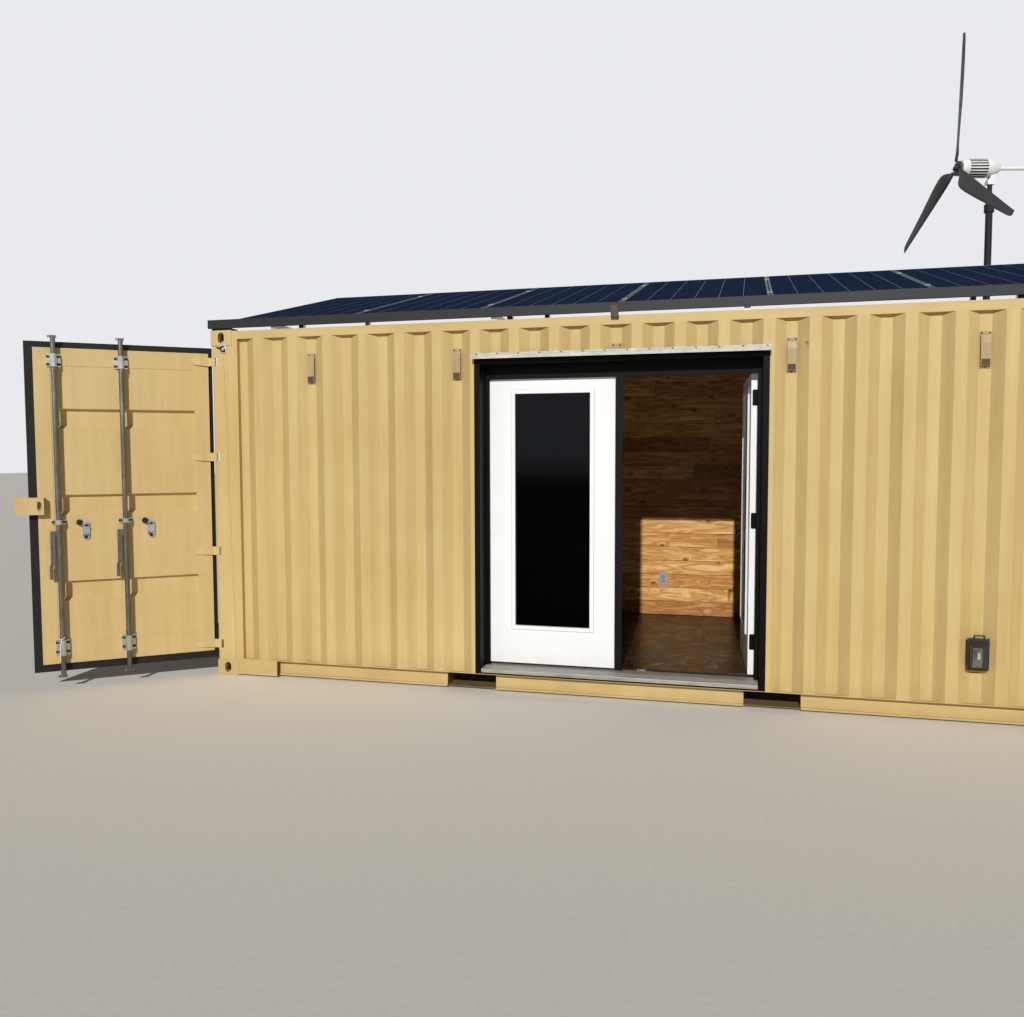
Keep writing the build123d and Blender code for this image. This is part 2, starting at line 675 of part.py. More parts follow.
def leaf_lite(side):
    """Raised moulding round the glass on both faces, joined through the slab."""
    mid = side * (SLAB_EDGE_GAP + SLAB_W / 2)
    back = SLAB_FACE_Y + SLAB_T
    half = GLASS_W / 2
    top = GLASS_LOW + GLASS_H
    wide = LITE_BORDER
    core = block(mid - half - LITE_LAP, mid + half + LITE_LAP, SLAB_FACE_Y, back,
                 GLASS_LOW - LITE_LAP, top + LITE_LAP)
    rims = []
    for face, out in ((SLAB_FACE_Y, -LITE_PROUD), (back, LITE_PROUD)):
        lower = Pos(mid, face, (GLASS_LOW + top) / 2) * Rot(90, 0, 0) * Rectangle(
            GLASS_W + 2 * wide, GLASS_H + 2 * wide)
        upper = Pos(mid, face + out, (GLASS_LOW + top) / 2) * Rot(90, 0, 0) * Rectangle(
            GLASS_W + 2 * wide - 16, GLASS_H + 2 * wide - 16)
        rims.append(loft([lower, upper]))
    hole = block(mid - half, mid + half, SLAB_FACE_Y - 40, back + 40, GLASS_LOW, top)
    groove = block(mid - half - PANE_LAP, mid + half + PANE_LAP, *pane_y(),
                   GLASS_LOW - PANE_LAP, top + PANE_LAP)
    return core.fuse(*rims) - hole - groove


def pane_y():
    mid = SLAB_FACE_Y + SLAB_T / 2
    return mid - PANE_T / 2, mid + PANE_T / 2


def leaf_pane(side):
    mid = side * (SLAB_EDGE_GAP + SLAB_W / 2)
    half = GLASS_W / 2 + PANE_LAP
    return block(mid - half, mid + half, *pane_y(), GLASS_LOW - PANE_LAP,
                 GLASS_LOW + GLASS_H + PANE_LAP)


def leaf_pin(side):
    edge = side * (SLAB_EDGE_GAP + SLAB_W)
    return edge + side * LEAF_PIN_OUT, SLAB_FACE_Y + SLAB_T + LEAF_PIN_Y


def leaf_butts(side):
    """Knuckle and round-cornered leaf plate of each butt hinge."""
    px, py = leaf_pin(side)
    edge = side * (SLAB_EDGE_GAP + SLAB_W)
    parts = []
    for mid in spread(SLAB_LOW + BUTT_ENDS[0], SLAB_LOW + SLAB_H - BUTT_ENDS[1], 3):
        low, high = mid - BUTT_H / 2, mid + BUTT_H / 2
        barrel = rod((px, py, low), (px, py, high), 6)
        plate = block(edge, edge + side * 2, SLAB_FACE_Y + 8, py - 2, low, high)
        plate = fillet(plate.edges().filter_by(Axis.X).group_by(Axis.Y)[0], 10)
        parts.append(barrel.fuse(plate))
    return parts


def astragal():
    """Black strip that covers the joint between the two leaves."""
    back = SLAB_FACE_Y + SLAB_T
    left, right = ASTRAGAL_LAP
    outline = [
        (-left, SLAB_FACE_Y - 18), (right, SLAB_FACE_Y - 18), (right, SLAB_FACE_Y - 6),
        (0, SLAB_FACE_Y - 6), (0, back), (-SLAB_EDGE_GAP, back),
        (-SLAB_EDGE_GAP, SLAB_FACE_Y), (-left, SLAB_FACE_Y),
    ]
    return plan(outline, SLAB_LOW, LEAF_HEAD_Z - STOP_W - 5)


def lever_set():
    """Rose, neck and drooping lever, and the deadbolt above, on both faces of the leaf."""
    x = SLAB_EDGE_GAP + LEVER_BACKSET
    bolt_z = LEVER_Z + DEADBOLT_UP
    droop = [(-12, -11), (-12, 9), (8, 12), (60, 6), (105, -24), (112, -40), (98, -42),
             (88, -30), (52, -12), (10, -9)]
    parts = []
    for face, out in ((SLAB_FACE_Y, -1), (SLAB_FACE_Y + SLAB_T, 1)):
        rose = rod((x, face, LEVER_Z), (x, face + out * 10, LEVER_Z), 33)
        neck = rod((x, face + out * 8, LEVER_Z), (x, face + out * 45, LEVER_Z), 10)
        grip = prism([(x + dx, face + out * 38, LEVER_Z + dz) for dx, dz in droop],
                     (0, out * 13, 0))
        parts.append(rose.fuse(neck, grip))
        parts.append(rod((x, face, bolt_z), (x, face + out * 15, bolt_z), 28))
    return parts


def turned(parts, pin, angle):
    """Turn parts about an upright axis through pin."""
    axis = Axis((pin[0], pin[1], 0), (0, 0, 1))
    return [part.rotate(axis, angle) for part in parts]


def glazed_leaves():
    save("left_leaf_slab", leaf_slab(-1))
    save("left_leaf_lite_frame", leaf_lite(-1))
    save("left_leaf_glass", leaf_pane(-1))
    save("left_leaf_hinges", leaf_butts(-1))
    save("astragal", astragal())
    pin = leaf_pin(1)
    swing = -RIGHT_LEAF_OPEN
    save("right_leaf_slab", turned([leaf_slab(1)], pin, swing))
    save("right_leaf_lite_frame", turned([leaf_lite(1)], pin, swing))
    save("right_leaf_glass", turned([leaf_pane(1)], pin, swing))
    save("right_leaf_hinges", turned(leaf_butts(1), pin, swing))
    save("right_leaf_lever", turned(lever_set(), pin, swing))


# Cargo leaves, drawn closed. The near one is turned open about its pins.

def cargo_leaf(hinge_y, free_y):
    """Leaf of four box members round a sheet with three bands pressed in."""
    face, back = LEAF_FACE_X, LEAF_FACE_X + LEAF_T
    side = 1 if free_y > hinge_y else -1
    y0, y1 = hinge_y + side * HINGE_MEMBER, free_y - side * FREE_MEMBER
    low, high = LEAF_LOW + BOTTOM_MEMBER, LEAF_HIGH - TOP_MEMBER
    members = block(face, back, hinge_y, free_y, LEAF_LOW, LEAF_HIGH)
    members -= block(face - 1, back + 1, y0, y1, low, high)
    lower, upper = SWAGE_SLOPES
    outer = [(SHEET_IN, low)]
    for share in SWAGE_AT:
        mid = low + share * (high - low)
        band_low, band_high = mid - SWAGE_H / 2, mid + SWAGE_H / 2
        outer += [(SHEET_IN, band_low - lower), (SWAGE_DEPTH, band_low + lower),
                  (SWAGE_DEPTH, band_high), (SHEET_IN, band_high + upper)]
    outer.append((SHEET_IN, high))
    inner = [(depth + CARGO_SHEET, z) for depth, z in reversed(outer)]
    sheet = prism([(face + depth, y0, z) for depth, z in outer + inner], (0, y1 - y0, 0))
    return members.fuse(sheet)


def cargo_seal(hinge_y, free_y, seal_y):
    """Rubber bead round the leaf's four edges, with a thin lip on the hinge side."""
    side = 1 if free_y > hinge_y else -1
    x0 = LEAF_FACE_X + (LEAF_T - SEAL_T) / 2
    x1 = x0 + SEAL_T
    low, high = LEAF_LOW - SEAL_BELOW, LEAF_HIGH + SEAL_ABOVE
    bead = block(x0, x1, hinge_y - side * SEAL_BEAD, seal_y, low, high)
    lip = block(x0, x0 + SEAL_LIP_T, hinge_y - side * SEAL_HINGE, hinge_y, low, high)
    return bead.fuse(lip) - block(x0 - 1, x1 + 1, hinge_y, free_y, LEAF_LOW, LEAF_HIGH)


def hinge_blades(side):
    """Forged straps, cranked round the leaf's edge and tapered to a rounded tip."""
    px, py = PIN_X, side * PIN_Y
    edge = side * LEAF_HINGE_Y
    tip = edge - side * BLADE_LAP
    outer = LEAF_FACE_X - 15
    crank = [(px - 6, py - side * 12), (outer, py - side * 36), (outer, edge - side * 60),
             (LEAF_FACE_X - 5, tip), (LEAF_FACE_X, tip),
             (LEAF_FACE_X, py - side * 32), (px + 12, py - side * 6)]
    root, end = BLADE_H / 2, BLADE_TIP_H / 2
    taper = [(py + side * 20, root), (edge, root), (tip + side * 16, end),
             (tip + side * 5, end - 7), (tip, end - 16)]
    parts = []
    for z in blade_heights():
        low, high = z - root, z + root
        upper = [(y, z + half) for y, half in taper]
        lower = [(y, z - half) for y, half in reversed(taper)]
        cheek = prism([(outer - 20, y, height) for y, height in upper + lower], (60, 0, 0))
        strap = plan(crank, low, high) & cheek
        knuckle = rod((px, py, low), (px, py, high), KNUCKLE_R)
        eye = rod((px, py, low - 1), (px, py, high + 1), HINGE_PIN_R + PIN_PLAY)
        parts.append(strap.fuse(knuckle) - eye)
    return parts


def hinge_lugs(side):
    """Pairs of lugs that fill the post's notch round the pin that runs through them."""
    px, py = PIN_X, side * PIN_Y
    toe_x, toe_y = POST_TOE
    front = side * (CREST_Y + LUG_PROUD)
    outline = [
        (-NOTCH_X, side * REBATE_Y), (-NOTCH_X, front), (toe_x - POST_TOE_X, front),
        (-POST_TOE_X - LUG_PROUD, side * (CREST_Y - toe_y)),
        (-POST_TOE_X - LUG_PROUD, side * REBATE_Y),
    ]
    parts = []
    for z in blade_heights():
        low, high = z - BLADE_H / 2 - LUG_GAP, z + BLADE_H / 2 + LUG_GAP
        pin = rod((px, py, low - LUG_T), (px, py, high + LUG_T), HINGE_PIN_R)
        lugs = [plan(outline, z0, z0 + LUG_T) for z0 in (low - LUG_T, high)]
        parts.append(pin.fuse(*lugs))
    return parts


def lock_rod(y, side):
    """Lock rod with a cam at each end and its hanging handle. side points to the free edge."""
    x = PIN_X
    bar = rod((x, y, ROD_LOW), (x, y, ROD_HIGH), ROD_R)
    cams = []
    for low in (ROD_LOW - CAM_T, ROD_HIGH):
        cams.append(plan(
            [(x - CAM_W / 2, y - side * CAM_SHORT), (x + CAM_W / 2, y - side * CAM_SHORT),
             (x + CAM_W / 2, y + side * CAM_LONG / 2), (x + 6, y + side * CAM_LONG),
             (x - 6, y + side * CAM_LONG), (x - CAM_W / 2, y + side * CAM_LONG / 2)],
            low, low + CAM_T))
    hub_y = y + side * HANDLE_ARM
    hub = block(x - 11, x + 11, y, hub_y + side * 14, *HUB_Z)
    wide, narrow = HANDLE_BAR / 2, HANDLE_BLADE / 2
    step = side * 14
    top = HUB_Z[0] + 14
    bend, foot = (HUB_Z[0] - drop for drop in HANDLE_DROP)
    outline = [
        (hub_y - wide, top), (hub_y + wide, top), (hub_y + wide, bend),
        (hub_y + narrow + step, bend - 30), (hub_y + narrow + step, foot),
        (hub_y - narrow + step, foot), (hub_y - narrow + step, bend - 30), (hub_y - wide, bend),
    ]
    handle = prism([(x - HANDLE_T / 2, hy, hz) for hy, hz in outline], (HANDLE_T, 0, 0))
    return bar.fuse(*cams, hub, handle)


def rod_guides(y, over_sheet):
    """Bearing brackets bolted to the leaf, folded round the rod."""
    face = LEAF_FACE_X - GUIDE_T
    wall = ROD_R + ROD_PLAY + 5
    outline = [
        (face, y - 30), (PIN_X + 6, y - 24), (PIN_X - 14, y - 20), (PIN_X - wall, y - 9),
        (PIN_X - wall, y + 9), (PIN_X - 14, y + 20), (PIN_X + 6, y + 24), (face, y + 30),
    ]
    parts = []
    for z, height in zip(GUIDE_Z, GUIDE_H):
        low, high = z - height / 2, z + height / 2
        on_member = low < LEAF_LOW + BOTTOM_MEMBER or high > LEAF_HIGH - TOP_MEMBER
        seat = LEAF_FACE_X + (SHEET_IN if over_sheet and not on_member else 0)
        base = block(face, seat, y - 45, y + 45, low, high)
        bore = rod((PIN_X, y, low - 1), (PIN_X, y, high + 1), ROD_R + ROD_PLAY)
        parts.append(base.fuse(plan(outline, low, high)) - bore)
    return parts


def handle_catch(y, side):
    """Oval plate with a hook and a tilted latch that holds the handle when it is locked."""
    width, height = CATCH_SIZE
    mid = HUB_Z[0] + height / 2
    plate = stadium((LEAF_FACE_X + SHEET_IN / 2 - 2, y, mid), "x", width, height, 4 + SHEET_IN)
    hook = block(LEAF_FACE_X - 16, LEAF_FACE_X - 4, y - 12, y + 10, mid - 26, mid - 12)
    latch = Pos(LEAF_FACE_X - 7, y - side * 6, mid + 22) * Rot(side * 25, 0, 0) * Box(6, 46, 13)
    return plate.fuse(hook, latch)


def cam_keepers(y, side):
    """Forked keepers on the sill and header, one for each end of a rod."""
    seat = -(HALF_L - SILL_IN)
    parts = []
    for low in (ROD_LOW - CAM_T, ROD_HIGH):
        z0, z1 = low - KEEPER_CLEAR, low + CAM_T + KEEPER_CLEAR
        y0, y1 = (y - side * (ROD_R + gap) for gap in KEEPER_SET)
        back = block(seat - KEEPER_T, seat, y0, y1, z0 - KEEPER_T, z1 + KEEPER_T)
        forks = [block(seat - 41, seat - KEEPER_T, y0, y1, z, z + KEEPER_T)
                 for z in (z0 - KEEPER_T, z1)]
        parts.append(back.fuse(*forks))
    return parts


def lock_box():
    """Steel box that shields the padlock, overhanging the leaf's free edge."""
    low, high = LOCK_BOX_Z
    x0, x1 = LEAF_FACE_X - LOCK_BOX_DEPTH, LEAF_FACE_X
    y0, y1 = (NEAR_FREE_Y + out for out in LOCK_BOX_Y)
    wall, clear = LOCK_BOX_T, LOCK_BOX_CLEAR
    shell = block(x0, x1, y0, y1, low, high)
    room = block(x0 + wall, x1 - clear - wall, y0 + wall, y1 - wall, low - 1, high - wall)
    overhang = block(x1 - clear, x1 + 1, NEAR_FREE_Y, y1 + 1, low - 2, high + 1)
    window = stadium((x0, y0 + 30, (low + high) / 2), "x", 28, 62, 3 * wall)
    return shell - room - overhang - window


def cargo_leaves():
    hinge = -LEAF_HINGE_Y
    pin = (PIN_X, -PIN_Y)
    near_rods = [NEAR_FREE_Y - inwards for inwards in ROD_IN]
    far_rods = [FAR_FREE_Y + inwards for inwards in ROD_IN]

    def opened(name, parts):
        save(name, turned(parts, pin, CARGO_OPEN))

    opened("near_leaf_panel", [cargo_leaf(hinge, NEAR_FREE_Y)])
    opened("near_leaf_seal", [cargo_seal(hinge, NEAR_FREE_Y, NEAR_SEAL_Y)])
    opened("near_leaf_hinge_blades", hinge_blades(-1))
    over_sheet = [inwards > FREE_MEMBER for inwards in ROD_IN]
    gear = [part for row in zip(near_rods, over_sheet) for part in rod_guides(*row)]
    gear += [handle_catch(y - CATCH_OFF, 1) for y in near_rods]
    opened("near_leaf_rod_brackets", gear)
    opened("lock_box", [lock_box()])
    opened("outer_lock_rod", [lock_rod(near_rods[0], 1)])
    opened("inner_lock_rod", [lock_rod(near_rods[1], 1)])
    save("far_leaf_panel", cargo_leaf(LEAF_HINGE_Y, FAR_FREE_Y).fuse(*hinge_blades(1)))
    save("far_leaf_seal", cargo_seal(LEAF_HINGE_Y, FAR_FREE_Y, FAR_SEAL_Y))
    gear = [part for row in zip(far_rods, over_sheet) for part in rod_guides(*row)]
    gear += [handle_catch(y + CATCH_OFF, -1) for y in far_rods]
    save("far_leaf_lock_gear", gear + [lock_rod(y, -1) for y in far_rods])
    save("hinge_lugs", hinge_lugs(-1) + hinge_lugs(1))
    keepers = [part for y in near_rods for part in cam_keepers(y, 1)]
    keepers += [part for y in far_rods for part in cam_keepers(y, -1)]
    save("cam_keepers", keepers)


# Room lining

def lining():
    thick = LINING
    x0, x1 = -DOOR_END_LINING_X, END_LINING_X
    yb, yf = BACK_LINING_Y, -FRONT_LINING_Y
    jamb_edge = DOORWAY_HALF - FRAME_TUBE
    save("back_lining", block(x0, x1, yb, yb + thick, FLOOR_TOP, LINING_TOP))
    save("front_lining_left", block(x0, -jamb_edge, yf - thick, yf, FLOOR_TOP, LINING_TOP))
    save("front_lining_right", block(jamb_edge, x1, yf - thick, yf, FLOOR_TOP, LINING_TOP))
    save("front_lining_over_door",
         block(-jamb_edge, jamb_edge, yf - thick, yf, DOORWAY_TOP - FRAME_TUBE, LINING_TOP))
    save("end_lining", block(x1, x1 + thick, yf - thick, yb + thick, FLOOR_TOP, LINING_TOP))
    save("ceiling_lining",
         block(x0, x1 + thick, yf - thick, yb + thick, LINING_TOP, LINING_TOP + thick))


def outlets():
    x, z = ROOM_OUTLET
    plate = block(x - 35, x + 35, BACK_LINING_Y - 5, BACK_LINING_Y, z - 58, z + 58)
    save("room_outlet", plate)
    x, z = OUTER_BAY * SIDE_WAVE[0], OUTDOOR_OUTLET_Z
    base = -CREST_Y + 22
    box = block(x - 50, x + 50, base - 45, base, z, z + 185)
    hood = prism([(x - 46, base - 45, z + 14), (x - 46, base - 84, z + 14),
                  (x - 46, base - 84, z + 148), (x - 46, base - 45, z + 176)], (92, 0, 0))
    backing = block(x - 34, x + 34, base, -CREST_Y + SIDE_WAVE[3], z + 20, z + 165)
    save("outdoor_outlet", box.fuse(hood, backing))


# Roof of solar panels

def on_array(u, v, w):
    """Point at u along the container, v up the slope and w out of the panel face."""
    tilt = radians(ARRAY_TILT)
    y = ARRAY_FRONT_Y + v * cos(tilt) - w * sin(tilt)
    z = ARRAY_FRONT_Z + v * sin(tilt) + w * cos(tilt)
    return (u, y, z)


def array_block(u0, u1, v0, v1, w0, w1):
    size = Box(u1 - u0, v1 - v0, w1 - w0)
    centre = on_array((u0 + u1) / 2, (v0 + v1) / 2, (w0 + w1) / 2)
    return Pos(*centre) * Rot(ARRAY_TILT, 0, 0) * size


def solar_array():
    lip = PANEL_LIP
    frames, glasses = [], []
    for k in range(PANEL_COUNT):
        u = -ARRAY_HALF + PANEL_GAP / 2 + k * (PANEL_W + PANEL_GAP)
        frame = array_block(u, u + PANEL_W, 0, PANEL_L, -PANEL_T, 0)
        frame -= array_block(u + lip, u + PANEL_W - lip, lip, PANEL_L - lip, -PANEL_T - 1, 1)
        frames.append(frame)
        glasses.append(array_block(u + lip, u + PANEL_W - lip, lip, PANEL_L - lip,
                                   -PANEL_GLASS_T - 1, -1))
    save("panel_frames", frames)
    save("panel_glass", glasses)
    save("array_rack", rack())
    save("fascia_beam", fascia())


def rack():
    """Tubes across the container with legs up to two purlins under the panels."""
    depth, wide = PURLIN
    purlin_at = (PURLIN_IN, PANEL_L - PURLIN_IN)
    purlins = [
        array_block(-ARRAY_HALF, ARRAY_HALF, v, v + wide, -PANEL_T - depth, -PANEL_T)
        for v in purlin_at
    ]
    tube = RACK_TUBE
    base = TOP_RAIL_Z
    parts = []
    for x in spread(RACK_IN - ARRAY_HALF, ARRAY_HALF - RACK_IN, RACK_BEAMS):
        parts.append(block(x - tube / 2, x + tube / 2, -CREST_Y, CREST_Y, base, base + tube))
        for v in purlin_at:
            _, y, z = on_array(0, v + wide / 2, -PANEL_T - depth)
            slope = tan(radians(ARRAY_TILT)) * tube / 2
            outline = [
                (x - tube / 2, y - tube / 2, base + tube / 2),
                (x - tube / 2, y + tube / 2, base + tube / 2),
                (x - tube / 2, y + tube / 2, z + slope),
                (x - tube / 2, y - tube / 2, z - slope),
            ]
            parts.append(prism(outline, (tube, 0, 0)))
    return purlins[0].fuse(purlins[1], *parts)


def fascia():
    """Board along the front of the roof, on an angle foot over each front casting."""
    inner_y = FASCIA_FACE_Y + FASCIA_T
    board = block(-FASCIA_HALF, FASCIA_HALF, FASCIA_FACE_Y, inner_y, FASCIA_LOW,
                  FASCIA_LOW + FASCIA_H)
    width, depth, thick = FASCIA_FOOT
    feet = []
    for side in (-1, 1):
        x = side * (HALF_L - CAST_L / 2)
        x0, x1 = x - width / 2, x + width / 2
        feet.append(block(x0, x1, inner_y, inner_y + depth, HEIGHT, HEIGHT + thick))
        feet.append(block(x0, x1, inner_y, inner_y + thick / 2, HEIGHT, FASCIA_LOW + FASCIA_H))
    return board.fuse(*feet)


# Wind turbine, drawn with its nose towards +X and then aimed

def nacelle(nose):
    """Slotted housing with a bevelled front, a tapered back and the neck on the mast."""
    x, y, z = MAST_X, MAST_Y, HUB_HEIGHT
    front, front_r = NACELLE_NOSE
    rim = [
        (nose - front, y), (nose - front, y + front_r),
        (nose - NACELLE_SHOULDER, y + NACELLE_R), (nose - NACELLE_BACK, y + NACELLE_R),
    ]
    bulge = (nose - (NACELLE_BACK + NACELLE_END) / 2 - 10, y + 0.78 * NACELLE_R)
    end = (nose - NACELLE_END, y + NACELLE_END_R)
    lines = [Line(a, b) for a, b in zip(rim, rim[1:])]
    lines += [ThreePointArc(rim[-1], bulge, end), Line(end, (end[0], y)), Line((end[0], y), rim[0])]
    outline = Pos(0, 0, z) * make_face(lines)
    body = revolve(outline, Axis((x, y, z), (1, 0, 0)))
    length, width, depth = NACELLE_SLOT
    axis = Axis((x, y, z), (1, 0, 0))
    slot = Pos(nose - SLOT_START - length / 2, y, z + NACELLE_R) * Box(length, width, 2 * depth)
    for k in range(NACELLE_SLOTS):
        body -= slot.rotate(axis, 360 * k / NACELLE_SLOTS)
    neck_l, neck_w, neck_drop = NECK
    back, low = x - neck_l / 2, z - neck_drop
    side = [(back, low), (back + neck_l, low), (back + neck_l, low + 30),
            (back + neck_l - 26, low + 68), (back + neck_l - 26, z - 30), (back, z - 30)]
    neck = prism([(px, y - neck_w / 2, pz) for px, pz in side], (0, neck_w, 0))
    bearing = rod((x, y, low - 1), (x, y, z - 40 + YAW_PLAY), SPIGOT_R + YAW_PLAY)
    shaft_hole = rod((nose - 90, y, z), (nose, y, z), SHAFT_R + YAW_PLAY)
    return body.fuse(neck) - bearing - shaft_hole


def blade(nose, spin, angle):
    """Moulded blade with a flat root that is bolted to the hub's front."""
    y, z = MAST_Y, HUB_HEIGHT
    root_y = BLADE_STATIONS[0][1] / 2
    front = nose - HUB_T / 2 + HUB_T
    sections = []
    for r, chord, thick, twist in BLADE_STATIONS:
        place = Plane(origin=(nose + HUB_T / 2, y, z + r), x_dir=(0, 1, 0), z_dir=(0, 0, 1))
        foil = Polygon(
            *[(chord * a - root_y, thick * b) for a, b in FOIL], align=None)
        sections.append(place * Rot(0, 0, twist) * foil)
    root = block(nose, front, y - root_y, y + root_y, z + 40, z + BLADE_STATIONS[0][0])
    return root.fuse(loft(sections, ruled=True)).rotate(spin, -angle)


def turbine():
    x, y = MAST_X, MAST_Y
    low, high = (HUB_HEIGHT - drop for drop in MAST_CLAMP)
    mast = rod((x, y, MAST_LOW), (x, y, MAST_TOP), MAST_R)
    spigot = rod((x, y, MAST_TOP), (x, y, HUB_HEIGHT - 40), SPIGOT_R)
    clamp = rod((x, y, low), (x, y, high), MAST_R + 12)
    arms = []
    for z in MAST_ARM_Z:
        seat = CREST_Y + RAIL_END[1] if z < RAIL_TOP else CREST_Y
        arm = block(x - 20, x + 20, seat, y, z - 25, z + 25)
        arms += [arm, rod((x, y, z - 25), (x, y, z + 25), MAST_R + 8)]
    save("mast", mast.fuse(spigot, clamp, *arms))
    head_axis = Axis((x, y, 0), (0, 0, 1))

    def aimed(part):
        return part.rotate(head_axis, NOSE_TURN)

    hub_z = HUB_HEIGHT
    nose = x + ROTOR_OFFSET
    save("nacelle", aimed(nacelle(nose)))
    tail_x = x - TAIL_REACH
    boom = rod((nose - NACELLE_END, y, hub_z), (tail_x, y, hub_z), TAIL_R)
    vane = prism([(tail_x + 60, y - 2, hub_z - 40), (tail_x - 160, y - 2, hub_z - 150),
                  (tail_x - 250, y - 2, hub_z - 150), (tail_x - 210, y - 2, hub_z + 130),
                  (tail_x - 60, y - 2, hub_z + 130)], (0, 4, 0))
    save("tail", aimed(boom.fuse(vane)))
    disc = rod((nose - HUB_T, y, hub_z), (nose, y, hub_z), HUB_R)
    boss = rod((nose, y, hub_z), (nose + HUB_T, y, hub_z), 36)
    shaft = rod((nose - 85, y, hub_z), (nose - HUB_T, y, hub_z), SHAFT_R)
    spinner = Solid.make_cone(22, 7, 24, Plane(origin=(nose + HUB_T, y, hub_z), z_dir=(1, 0, 0)))
    save("rotor_hub", aimed(disc.fuse(boss, shaft, spinner)))
    spin = Axis((x, y, hub_z), (1, 0, 0))
    turns = [ROTOR_TURN + 120 * k for k in range(3)]
    save("turbine_blades", [aimed(blade(nose, spin, angle)) for angle in turns])


os.makedirs("parts", exist_ok=True)
container_frame()
walls()
roof()
vents()
doorway()
glazed_leaves()
cargo_leaves()
lining()
outlets()
solar_array()
turbine()
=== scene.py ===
import math
import random

import bmesh
import bpy
from mathutils import Matrix, Vector


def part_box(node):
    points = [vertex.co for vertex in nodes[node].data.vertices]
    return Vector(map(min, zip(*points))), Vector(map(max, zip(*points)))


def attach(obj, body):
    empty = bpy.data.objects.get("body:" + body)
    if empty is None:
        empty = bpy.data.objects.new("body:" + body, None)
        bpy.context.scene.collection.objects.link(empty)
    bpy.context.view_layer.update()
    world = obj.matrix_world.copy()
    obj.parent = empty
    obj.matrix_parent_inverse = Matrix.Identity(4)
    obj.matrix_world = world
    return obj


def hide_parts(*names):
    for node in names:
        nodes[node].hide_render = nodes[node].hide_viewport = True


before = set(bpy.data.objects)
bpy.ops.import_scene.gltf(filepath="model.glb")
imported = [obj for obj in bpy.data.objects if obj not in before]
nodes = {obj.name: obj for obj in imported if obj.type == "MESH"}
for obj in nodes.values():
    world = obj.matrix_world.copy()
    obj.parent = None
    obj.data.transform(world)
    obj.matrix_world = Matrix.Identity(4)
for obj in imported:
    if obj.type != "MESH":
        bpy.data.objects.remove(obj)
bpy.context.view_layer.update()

# Camera: standing height, a little left of square to the doorway side, as the photograph
# was taken. spot() turns millimetres from the container's ground centre into the frame.
FOOT = Vector((3005.0, 1195.0, 0.0))
STANDPOINT = (848.6, -7150.3, 1681.3)
YAW, PITCH, ROLL = 14.726, -3.605, 0.141
SENSOR = 36.0
FOCAL_PIXELS, PHOTO_PIXELS = 894.396, 1024
FARTHEST_SEEN = 200.0


def spot(x, y, z):
    return (Vector((x, y, z)) + FOOT) / 1000


def stand(name, data):
    """Object with this data, put into the scene."""
    made = bpy.data.objects.new(name, data)
    bpy.context.scene.collection.objects.link(made)
    return made


aim = Matrix.Identity(4)
for degrees, axis in ((YAW, "Z"), (PITCH, "X"), (ROLL, "Y"), (90.0, "X")):
    aim = aim @ Matrix.Rotation(math.radians(degrees), 4, axis)
camera_data = bpy.data.cameras.new("camera")
camera = stand("camera", camera_data)
camera_data.sensor_fit = "HORIZONTAL"
camera_data.sensor_width = SENSOR
camera_data.lens = SENSOR * FOCAL_PIXELS / PHOTO_PIXELS
camera_data.clip_end = FARTHEST_SEEN
camera.matrix_world = Matrix.Translation(spot(*STANDPOINT)) @ aim
bpy.context.scene.camera = camera

# Studio: pale floor, one warm distant light from behind the camera and a pale surround that
# lights softly. Camera rays, mirrors and glass see the surround brighter than it lights.
FILL_LIGHT = 0.08
SEEN_LIGHT = 0.92
KEY_LIGHT = 3.1
KEY_LEAN, KEY_SIDE = 63.0, 3.0
KEY_SPREAD, KEY_COLOUR = 1.0, (1.0, 0.982, 0.95)
FLOOR_HALF, FLOOR_MIDDLE = 60.0, (3.0, 1.2, 0.0)


def linear(code):
    """sRGB hex code as a linear colour with alpha."""
    values = [int(code[k:k + 2], 16) / 255 for k in (0, 2, 4)]
    values = [v / 12.92 if v <= 0.04045 else ((v + 0.055) / 1.055) ** 2.4 for v in values]
    return (*values, 1.0)


def per_metre(*sizes):
    """Pattern scale that gives features of this size in millimetres, or of these three
    sizes along X, Y and Z."""
    scales = tuple(1000 / size for size in sizes)
    return scales if len(scales) > 1 else scales[0]


def add(tree, kind, inputs=None, **settings):
    """Add one shader node: its options, and its inputs, which are numbers, hex colours, or
    the nodes and sockets that feed them."""
    node = tree.nodes.new("ShaderNode" + kind)
    for name, value in settings.items():
        setattr(node, name, value)
    for key, value in (inputs or {}).items():
        if isinstance(value, bpy.types.Node):
            value = value.outputs[2 if getattr(value, "data_type", "") == "RGBA" else 0]
        if isinstance(value, bpy.types.NodeSocket):
            tree.links.new(value, node.inputs[key])
        else:
            node.inputs[key].default_value = linear(value) if isinstance(value, str) else value
    return node


def noise(tree, place, size, detail, rough=0.5, warp=0.0):
    """Clouds of this size in millimetres, or of these three sizes along X, Y and Z."""
    if isinstance(size, tuple):
        place = add(tree, "Mapping", {"Vector": place, "Scale": per_metre(*size)})
        size = 1000
    return add(tree, "TexNoise", {"Vector": place, "Scale": per_metre(size), "Detail": detail,
                                  "Roughness": rough, "Distortion": warp})


def ramp(tree, value, *stops):
    """Turn value into a colour or a grey, by stops of a place and its tone."""
    node = add(tree, "ValToRGB", {0: value})
    colours = node.color_ramp.elements
    for index, (place, tone) in enumerate(stops):
        stop = colours[index] if index < len(colours) else colours.new(place)
        stop.position = place
        stop.color = linear(tone) if isinstance(tone, str) else (tone, tone, tone, 1.0)
    return node


def tint(tree, amount, colour, other, way="MIX"):
    """Blend a colour with another, by an amount from 0 to 1."""
    return add(tree, "Mix", {0: amount, 6: colour, 7: other}, data_type="RGBA",
               blend_type=way)


def calc(tree, operation, *values):
    """One step of arithmetic on single values."""
    return add(tree, "Math", dict(enumerate(values)), operation=operation)


